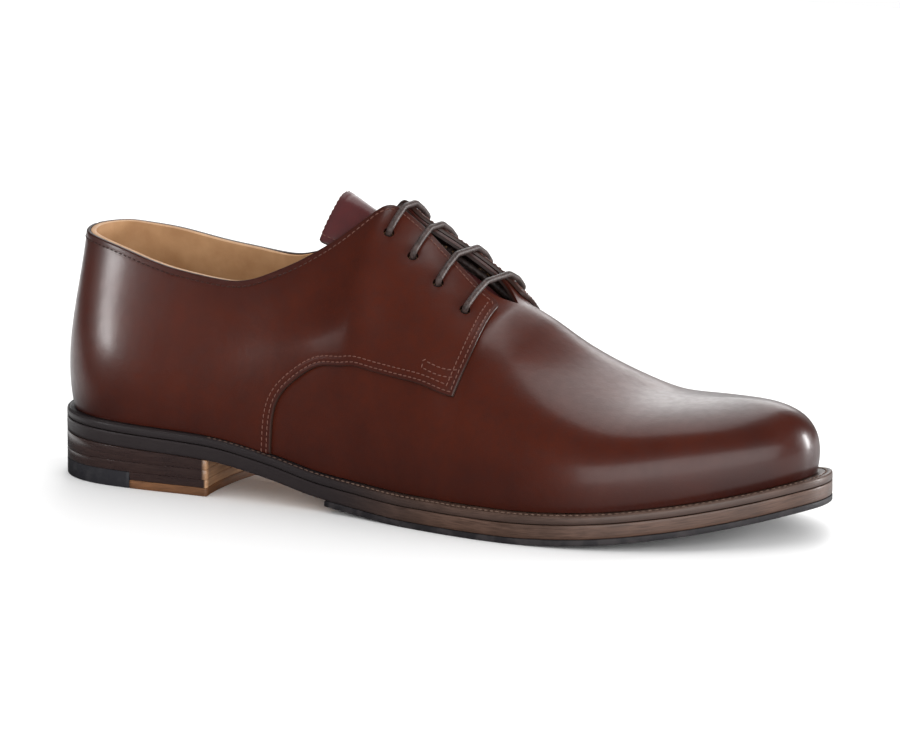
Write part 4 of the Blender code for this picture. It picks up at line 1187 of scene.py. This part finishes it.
lace_rough = bent(lace_route(), LACE_BEND)
lace_path = read_line(lace_rough, np.linspace(0, 1, int(lengths(lace_rough)[-1] / (0.25 * MM))))
blur = np.exp(-0.5 * (np.arange(-8, 9) / 2.6) ** 2)
blur /= blur.sum()
lace_path = np.pad(lace_path, ((8, 8), (0, 0)), mode="edge")
lace_path = np.stack([np.convolve(lace_path[:, k], blur, mode="valid") for k in range(3)], axis=1)
lace_grid = braid_grid(lace_path, LACE_RADIUS)
made_of("lace_braid", [lace_grid], waxed_braid(), ("lace",), weld=THREAD_WELD)

# Welt: a dark leather strip round the whole shoe under the edge of the upper, sewn through the outsole in a
# shallow channel. Its edge is trimmed with the sole's and inked.
WELT_SEAT = 4.2 * MM
WELT_PITCH = 2.4 * MM
WELT_STITCH = 1.85 * MM
WELT_THREAD = 0.33 * MM
WELT_SLANT = math.radians(7)
sole_ring = ring_of(SOLE)
ring_reach = sole_ring[:, 0] / SOLE_LENGTH
welt_show = welt_width(sole_ring[:, 0])


def inked_edge(name, top, bottom, roughness, coat, streak=26.0, under=None):
    """The trimmed edge of stacked leather: fine streaks along it, from the top colour to the bottom one with
    the height in the layer, darker in the pits, and bare leather where under is high."""
    made, tree, shader = material(name, roughness, coat=coat, coat_roughness=0.22, specular=0.35)
    where = node(tree, "ShaderNodeTexCoord").outputs["Object"]
    parts = node(tree, "ShaderNodeSeparateXYZ", {"Vector": where}).outputs
    layer_height = node(tree, "ShaderNodeAttribute", attribute_name="level").outputs["Fac"]
    tall = calc(tree, "MULTIPLY", layer_height, streak)
    along = node(tree, "ShaderNodeCombineXYZ", {"X": parts["X"], "Y": parts["Y"], "Z": tall}).outputs[0]
    drawn_out = {"Vector": along, "Scale": 120.0, "Detail": 6.0, "Roughness": 0.65}
    fibres = node(tree, "ShaderNodeTexNoise", drawn_out)
    blots = node(tree, "ShaderNodeTexNoise", {"Vector": where, "Scale": 45.0, "Detail": 3.0})
    rise = ramp(tree, layer_height, 0.5 * MM, 4.5 * MM)
    tone = mix(tree, rise, (*bottom, 1), (*top, 1))
    dark = (*(0.35 * value for value in bottom), 1)
    slate = (0.016, 0.0125, 0.0140, 1)
    tone = mix(tree, ramp(tree, fibres.outputs["Fac"], 0.62, 0.35, 0.0, 0.75), tone, dark)
    tone = mix(tree, ramp(tree, blots.outputs["Fac"], 0.45, 0.7, 0.0, 0.4), tone, dark)
    tone = mix(tree, node(tree, "ShaderNodeAttribute", attribute_name="shade").outputs["Fac"], tone, slate)
    rough = ramp(tree, fibres.outputs["Fac"], 0.3, 0.7, roughness - 0.08, roughness + 0.12)
    if under is not None:
        bare = node(tree, "ShaderNodeAttribute", attribute_name="under").outputs["Fac"]
        patchy = grain(tree, 0.7 * MM, 14 * MM)
        pale = mix(tree, patchy["Clouds"], (*under, 1), (*(0.7 * value for value in under), 1))
        tone = mix(tree, bare, tone, pale)
        rough = calc(tree, "MULTIPLY_ADD", bare, 0.25, rough)
    feed(tree, shader, tone, rough, fibres.outputs["Fac"], lift=0.05 * MM)
    return made


def edge_shade(reach):
    """How much of the dark slate ink the edges hold: most at heel and waist, and none from the ball on."""
    return 0.94 * (1 - ease(reach / SOLE_LENGTH, 0.40, 0.62))


channel = 0.42 * welt_show
welt_profile = [
    (0.8 * MM, 0.02 * MM),
    (0.12 * MM, 0.05 * MM),
    (0.01 * MM, 0.25 * MM),
    (0.0 * MM, 1.2 * MM),
    (0.03 * MM, 2.1 * MM),
    (0.18 * MM, 2.6 * MM),
    (0.5 * MM, 2.9 * MM),
    (0.9 * MM, 3.0 * MM),
    (channel - 0.45 * MM, 2.98 * MM),
    (channel, 2.72 * MM),
    (channel + 0.45 * MM, 2.98 * MM),
    (welt_show - 0.5 * MM, 3.0 * MM),
]
welt_outer = round_edge(sole_ring, welt_profile, welt_foot)
welt_under = [(0.4 * MM, 3.0 * MM), (WELT_SEAT, 3.0 * MM), (WELT_SEAT, 0.02 * MM)]
welt_inner = round_edge(feather_ring, welt_under, welt_foot)
welt_closed = np.concatenate([welt_outer, welt_inner, welt_outer[:1]])
welt_levels = np.array([rise for _, rise in welt_profile] + [3 * MM, 3 * MM, 0, 0])[:, None]
welt_ink = inked_edge("welt_ink", (0.030, 0.015, 0.012), (0.092, 0.052, 0.038), 0.44, 0.15, streak=16.0)
welt_marks = {"level": [3.6 * MM - welt_levels], "shade": [edge_shade(welt_closed[..., 0])]}
made_of("welt_strip", [welt_closed], welt_ink, ("welt",), welt_marks)

# Its stitches, from waist to waist round the forepart
channel_line = moved_in(sole_ring, channel)
channel_line = channel_line[ring_reach > 0.24]
channel_line = np.column_stack([channel_line, welt_foot(channel_line[:, 0]) + 2.86 * MM])
channel_run = lengths(channel_line)
welt_at = np.arange(1 * MM, channel_run[-1], WELT_PITCH)
welt_places, welt_on = (
    np.stack([np.interp(welt_at, channel_run, values[:, k]) for k in range(3)], axis=1)
    for values in (channel_line, np.gradient(channel_line, axis=0))
)
welt_on /= np.linalg.norm(welt_on, axis=1)[:, None]
welt_side = np.cross(welt_on, (0, 0, 1.0))
welt_up = np.cross(welt_side, welt_on)
welt_up /= np.linalg.norm(welt_up, axis=1)[:, None]
welt_rows = (welt_places, welt_on, welt_up)
welt_grid = stitch_grid(*welt_rows, WELT_STITCH, WELT_THREAD, rise=0.08 * MM, slant=WELT_SLANT)
welt_tone = 0.3 + 0.55 * (1 - ease(welt_grid[..., 0] / SOLE_LENGTH, 0.34, 0.5))
welt_thread = thread("welt_thread", (0.19, 0.120, 0.088), (0.06, 0.034, 0.026))
made_of("stitches_welt", [welt_grid], welt_thread, (), {"shade": [welt_tone]}, THREAD_WELD)

# Outsole: one layer of oak-bark leather from heel to toe, its edge trimmed, inked brown and burnished, its
# waist left natural underneath.
outsole_profile = [
    (2.2 * MM, 0.0 * MM),
    (0.7 * MM, 0.0 * MM),
    (0.25 * MM, 0.12 * MM),
    (0.04 * MM, 0.5 * MM),
    (0.0 * MM, 1.4 * MM),
    (0.0 * MM, 4.3 * MM),
    (0.01 * MM, 4.98 * MM),
    (0.10 * MM, 5.15 * MM),
    (0.4 * MM, 5.2 * MM),
    (3.0 * MM, 5.2 * MM),
]
outsole_side = round_edge(sole_ring, outsole_profile, underside)
outsole_levels = np.array([rise for _, rise in outsole_profile])[:, None]
EDGE_TOP = (0.108, 0.060, 0.043)
EDGE_FOOT = (0.080, 0.041, 0.027)
NATURAL = (0.46, 0.235, 0.10)
outsole_ink = inked_edge("outsole_ink", EDGE_TOP, EDGE_FOOT, 0.40, 0.15, streak=20.0, under=NATURAL)
outsole_under = np.r_[1, 0.6, [0] * 8][:, None]
outsole_shade = edge_shade(outsole_side[..., 0]) * (1 - outsole_under)
outsole_marks = {
    "level": [outsole_levels, 0, 0],
    "under": [outsole_under, 1, 0],
    "shade": [outsole_shade, 0, 0],
}
outsole_grids = [outsole_side, across(outsole_side[0], 24), across(outsole_side[-1], 10)]
made_of("outsole_leather", outsole_grids, outsole_ink, ("outsole",), outsole_marks)

# Half sole: a thin dark rubber sheet glued under the outsole from the waist to the toe, and trimmed flush
# with its edge.
HALF_SOLE_START = 126 * MM
# Reaches that lie beyond the sole's back and toe, for layers that go all the way
PAST_BACK, PAST_TOE = -1, 1


def plan(outline, start, end, rows, columns, hollow=0.0):
    """Places across an outline between two reaches: straight rows, closer together where the outline turns at
    its back or its toe, the last of them hollowed towards the heel by a parabola."""
    back, toe = outline[:, 0].min(), outline[:, 0].max()
    t = np.linspace(0, 1, rows)
    t = t**2 if start <= back else t
    t = 1 - (1 - t) ** 2 if end >= toe else t
    reach = max(start, back) + (min(end, toe) - max(start, back)) * t
    share = np.linspace(0, 1, 4001)
    sides = []
    for side in (-1, 1):
        line = side_of(outline, side, share)
        sides.append(np.interp(reach, line[:, 0], line[:, 1]))
    over = np.linspace(0, 1, columns)
    aside = sides[0][:, None] + (sides[1] - sides[0])[:, None] * over
    return np.dstack([reach[:, None] - hollow * t[:, None] * (1 - (2 * over - 1) ** 2), aside])


def border(grid):
    """The places round a grid's edge, the first of them again at the end."""
    return np.concatenate([grid[:, 0], grid[-1, 1:], grid[-2::-1, -1], grid[0, -2::-1]])


def slab_grids(start, end, bottom, top, rows, columns, hollow=0.0, ease_by=0.3 * MM):
    """A layer between two reaches and two heights, its edges eased all round: its two faces and its side."""
    flats = []
    for by in (ease_by, 0.3 * ease_by, 0):
        flats.append(plan(moved_in(SOLE, by), start + by, end - by, rows, columns, hollow))
    steps = ((0, 0.0), (1, 0.3), (2, 1.0))
    low = [(flats[k], bottom(flats[k][..., 0]) + share * ease_by) for k, share in steps]
    high = [(flats[k], top(flats[k][..., 0]) - share * ease_by) for k, share in steps[::-1]]
    levels = [np.dstack([flat, np.broadcast_to(height, flat.shape[:2])]) for flat, height in low + high]
    return [levels[0], levels[-1], np.stack([border(one) for one in levels])]


def rubber(name, tone, dust):
    """Moulded rubber: near black with fine pits and a little dust in them."""
    made, tree, shader = material(name, 0.6, specular=0.3)
    pits = grain(tree, 0.8 * MM, 10 * MM)
    worn = mix(tree, ramp(tree, pits["Flecks"], 0.4, 1, 0, 0.5), (*tone, 1), (*dust, 1))
    feed(tree, shader, worn, ramp(tree, pits["Clouds"], 0, 1, 0.5, 0.68), pits["Height"], lift=0.05 * MM)
    return made


def under_by(drop):
    """A level that lies this far below the outsole's underside."""
    return lambda reach: underside(reach) - drop


half_sole = slab_grids(HALF_SOLE_START, PAST_TOE, under_by(CLEAR + HALF_SOLE), under_by(0.04 * MM), 150, 24)
half_sole_rubber = rubber("half_sole_rubber", (0.014, 0.012, 0.014), (0.040, 0.033, 0.034))
made_of("half_sole_sheet", half_sole, half_sole_rubber, ("half_sole",))

# Heel: leather lifts pegged and glued on the outsole, trimmed together, inked nearly black and waxed to a
# gloss. The top piece is rubber at the back, with a bare leather strip along its front.
HEEL_LENGTH = 74 * MM
TOP_PIECE = 6.0 * MM
BARE_STRIP = 3.0 * MM
LIFT = 3.4 * MM
RUBBER_LENGTH = 41 * MM
BREAST_HOLLOW = 4 * MM
JOINT = 0.05 * MM


def heel_finish():
    """Waxed heel ink over stacked leather: faint level streaks and slow cloudiness, and the breast bare."""
    made, tree, shader = material("heel_ink", 0.3, coat=0.5, coat_roughness=0.12, specular=0.4)
    where = node(tree, "ShaderNodeTexCoord").outputs["Object"]
    flat = node(tree, "ShaderNodeMapping", {"Vector": where, "Scale": (1, 1, 14)}).outputs[0]
    drawn_out = {"Vector": flat, "Scale": 110.0, "Detail": 6.0, "Roughness": 0.6}
    fibres = node(tree, "ShaderNodeTexNoise", drawn_out)
    clouds = node(tree, "ShaderNodeTexNoise", {"Vector": where, "Scale": 40.0, "Detail": 2.0})
    streaks = ramp(tree, fibres.outputs["Fac"], 0.4, 0.68)
    tone = mix(tree, streaks, (0.022, 0.0115, 0.0105, 1), (0.031, 0.0155, 0.0130, 1))
    tone = mix(tree, ramp(tree, clouds.outputs["Fac"], 0.4, 0.7, 0, 0.5), tone, (0.017, 0.011, 0.011, 1))
    bare = node(tree, "ShaderNodeAttribute", attribute_name="under").outputs["Fac"]
    layers = ramp(tree, fibres.outputs["Fac"], 0.35, 0.65)
    pale = mix(tree, layers, (0.27, 0.140, 0.070, 1), (0.40, 0.225, 0.118, 1))
    tone = mix(tree, bare, tone, pale)
    inked = ramp(tree, fibres.outputs["Fac"], 0.3, 0.7, 0.24, 0.36)
    rough = calc(tree, "MULTIPLY_ADD", bare, 0.35, inked)
    feed(tree, shader, tone, rough, fibres.outputs["Fac"], lift=0.006 * MM)
    return made


def front_of(side):
    """1 on the heel's front face and 0 elsewhere, eased over the last 1.1 to 0.5 mm before the hollowed front
    line, which is a parabola across the heel's width."""
    width = np.interp(HEEL_LENGTH, *side_of(SOLE, 1, np.linspace(0, 1, 4001)).T)
    share = np.clip((side[..., 1] + width) / (2 * width), 0, 1)
    line = HEEL_LENGTH - BREAST_HOLLOW * (1 - (2 * share - 1) ** 2)
    return ease(side[..., 0], line - 1.1 * MM, line - 0.5 * MM)


def flat_at(height):
    """A level at the same height everywhere."""
    return lambda reach: np.full(np.shape(reach), height)


heel_ink = heel_finish()
GLUE = 0.1 * MM
LOW_JOINT = TOP_PIECE + CLEAR - GLUE
HIGH_JOINT = LOW_JOINT + LIFT + CLEAR
STRIP_START = RUBBER_LENGTH + CLEAR
heel_pieces = (
    ("heel_lift_top", PAST_BACK, flat_at(HIGH_JOINT), under_by(JOINT)),
    ("heel_lift_middle", PAST_BACK, flat_at(LOW_JOINT), flat_at(HIGH_JOINT - JOINT)),
    ("heel_lift_front", STRIP_START, flat_at(BARE_STRIP + 0.2 * MM), flat_at(LOW_JOINT - JOINT)),
)
for name, start, bottom, top in heel_pieces:
    grids = slab_grids(start, HEEL_LENGTH, bottom, top, 70, 20, BREAST_HOLLOW, ease_by=0.12 * MM)
    marks = {"under": [0, 0, front_of(grids[2])]}
    made_of(f"{name}_leather", grids, heel_ink, (name,), marks)

STRIP_TOP = (0.215, 0.092, 0.034)
STRIP_FOOT = (0.15, 0.060, 0.022)
STRIP_UNDER = (0.34, 0.17, 0.08)
bare_leather = inked_edge("bare_leather", STRIP_TOP, STRIP_FOOT, 0.6, 0.0, streak=30.0, under=STRIP_UNDER)
strip_top = flat_at(BARE_STRIP + 0.15 * MM)
strip = slab_grids(STRIP_START, HEEL_LENGTH, flat_at(0.0), strip_top, 30, 20, BREAST_HOLLOW)
strip_marks = {"level": [0.0, 3 * MM, strip[2][..., 2]], "under": [1.0, 0.0, 0.0]}
made_of("heel_strip_leather", strip, bare_leather, ("heel_top_leather",), strip_marks)
top_rubber = rubber("top_rubber", (0.017, 0.016, 0.020), (0.032, 0.030, 0.033))
rubber_top = flat_at(LOW_JOINT - JOINT)
rubber_grids = slab_grids(PAST_BACK, RUBBER_LENGTH, flat_at(0.0), rubber_top, 50, 16, ease_by=0.35 * MM)
made_of("heel_rubber", rubber_grids, top_rubber, ("heel_top_rubber",))

# Studio: a wide pale floor and a pale room, with soft boxes where the calf shows their gloss. In the gloss
# the room is dark, and so is the floor except before the toe and behind the heel, as with black cards.
FLOOR_WIDTH = 2.4
floor_corners = np.array(((-1, -1, 0), (1, -1, 0), (1, 1, 0), (-1, 1, 0))) * FLOOR_WIDTH / 2
FLOOR_PALE, GLOSS_DARK, GLOSS_BRIGHT = ((tone, tone, tone, 1) for tone in (0.86, 0.07, 0.95))
floor_mesh = bpy.data.meshes.new("studio_floor")
floor_mesh.from_pydata(floor_corners.tolist(), [], [(0, 1, 2, 3)])
floor = bpy.data.objects.new("studio_floor", floor_mesh)
bpy.context.scene.collection.objects.link(floor)
pale_floor, floor_tree, floor_shader = material("pale_floor", 0.5, specular=0.15)
in_gloss = node(floor_tree, "ShaderNodeLightPath").outputs["Is Glossy Ray"]
where = node(floor_tree, "ShaderNodeTexCoord").outputs["Object"]
spot = node(floor_tree, "ShaderNodeSeparateXYZ", {"Vector": where}).outputs
lit_front = ramp(floor_tree, spot["Y"], -0.05, -0.24)
behind, beside = ramp(floor_tree, spot["Y"], 0.20, 0.28), ramp(floor_tree, spot["X"], -0.12, -0.05)
lit = calc(floor_tree, "MAXIMUM", lit_front, calc(floor_tree, "MULTIPLY", behind, beside))
gloss_tone = mix(floor_tree, lit, GLOSS_DARK, GLOSS_BRIGHT)
feed(floor_tree, floor_shader, mix(floor_tree, in_gloss, FLOOR_PALE, gloss_tone))
floor_mesh.materials.append(pale_floor)

ROOM_LIGHT = 1.0
ROOM_IN_GLOSS = 0.04
room = bpy.data.worlds.new("studio_room")
room.use_nodes = True
room_tree = room.node_tree
in_gloss = node(room_tree, "ShaderNodeLightPath").outputs["Is Glossy Ray"]
room_light = ramp(room_tree, in_gloss, 0, 1, ROOM_LIGHT, ROOM_IN_GLOSS)
room_tree.nodes["Background"].inputs["Color"].default_value = (1, 1, 1, 1)
room_tree.links.new(room_light, room_tree.nodes["Background"].inputs["Strength"])
room.cycles.sampling_method = "NONE"
bpy.context.scene.world = room

SoftBox = namedtuple("SoftBox", "name place aim width height power spread")
SOFT_BOXES = (
    SoftBox("overhead", (1.15, 0.42, 1.45), (0, -0.08, 0.05), 3.0, 0.85, 20, 180),
    SoftBox("low_front", (-1.44, -1.34, 0.58), (0, -0.08, 0.05), 4.0, 1.15, 50, 180),
    SoftBox("toe_spot", (1.50, -1.55, 0.36), (0, -0.14, 0.04), 0.26, 0.80, 34, 180),
    SoftBox("heel_side", (-0.184, 0.373, 0.106), (0.021, 0.168, 0.066), 0.180, 0.055, 0.017, 22),
    SoftBox("backdrop", (2.7, 1.4, 0.80), (0, 0, 0.2), 3.4, 1.5, 7, 180),
)
OVERHEAD_RUN = Vector((0.93, 0.34, -0.3))
for box in SOFT_BOXES:
    light = bpy.data.lights.new(box.name, "AREA")
    light.shape, light.size, light.size_y, light.energy = "RECTANGLE", box.width, box.height, box.power
    light.spread = math.radians(box.spread)
    lamp = bpy.data.objects.new(box.name, light)
    away = (Vector(box.place) - Vector(box.aim)).normalized()
    aside = OVERHEAD_RUN if box.name == "overhead" else Vector((0, 0, 1)).cross(away)
    aside = (aside - away * aside.dot(away)).normalized()
    turned = Matrix((aside, away.cross(aside), away)).transposed().to_4x4()
    lamp.matrix_world = Matrix.Translation(box.place) @ turned
    lamp.visible_camera = False
    bpy.context.scene.collection.objects.link(lamp)

bpy.context.scene.view_settings.view_transform = "Standard"

# Camera: a long lens a little above the shoe, ahead of it and to its lateral side, as in the photograph. The
# shoe fills the frame.
CAMERA_PLACE = Vector((-2.51935, -1.36202, 0.60270))
CAMERA_AHEAD = Vector((0.86457, 0.46570, -0.18969))
SENSOR_WIDTH = 36
FOCAL_LENGTH = 320
lens = bpy.data.cameras.new("camera")
lens.sensor_width, lens.lens, lens.clip_end = SENSOR_WIDTH, FOCAL_LENGTH, 60
camera = bpy.data.objects.new("camera", lens)
camera.location = CAMERA_PLACE
camera.rotation_euler = CAMERA_AHEAD.to_track_quat("-Z", "Y").to_euler()
bpy.context.scene.collection.objects.link(camera)
bpy.context.scene.camera = camera
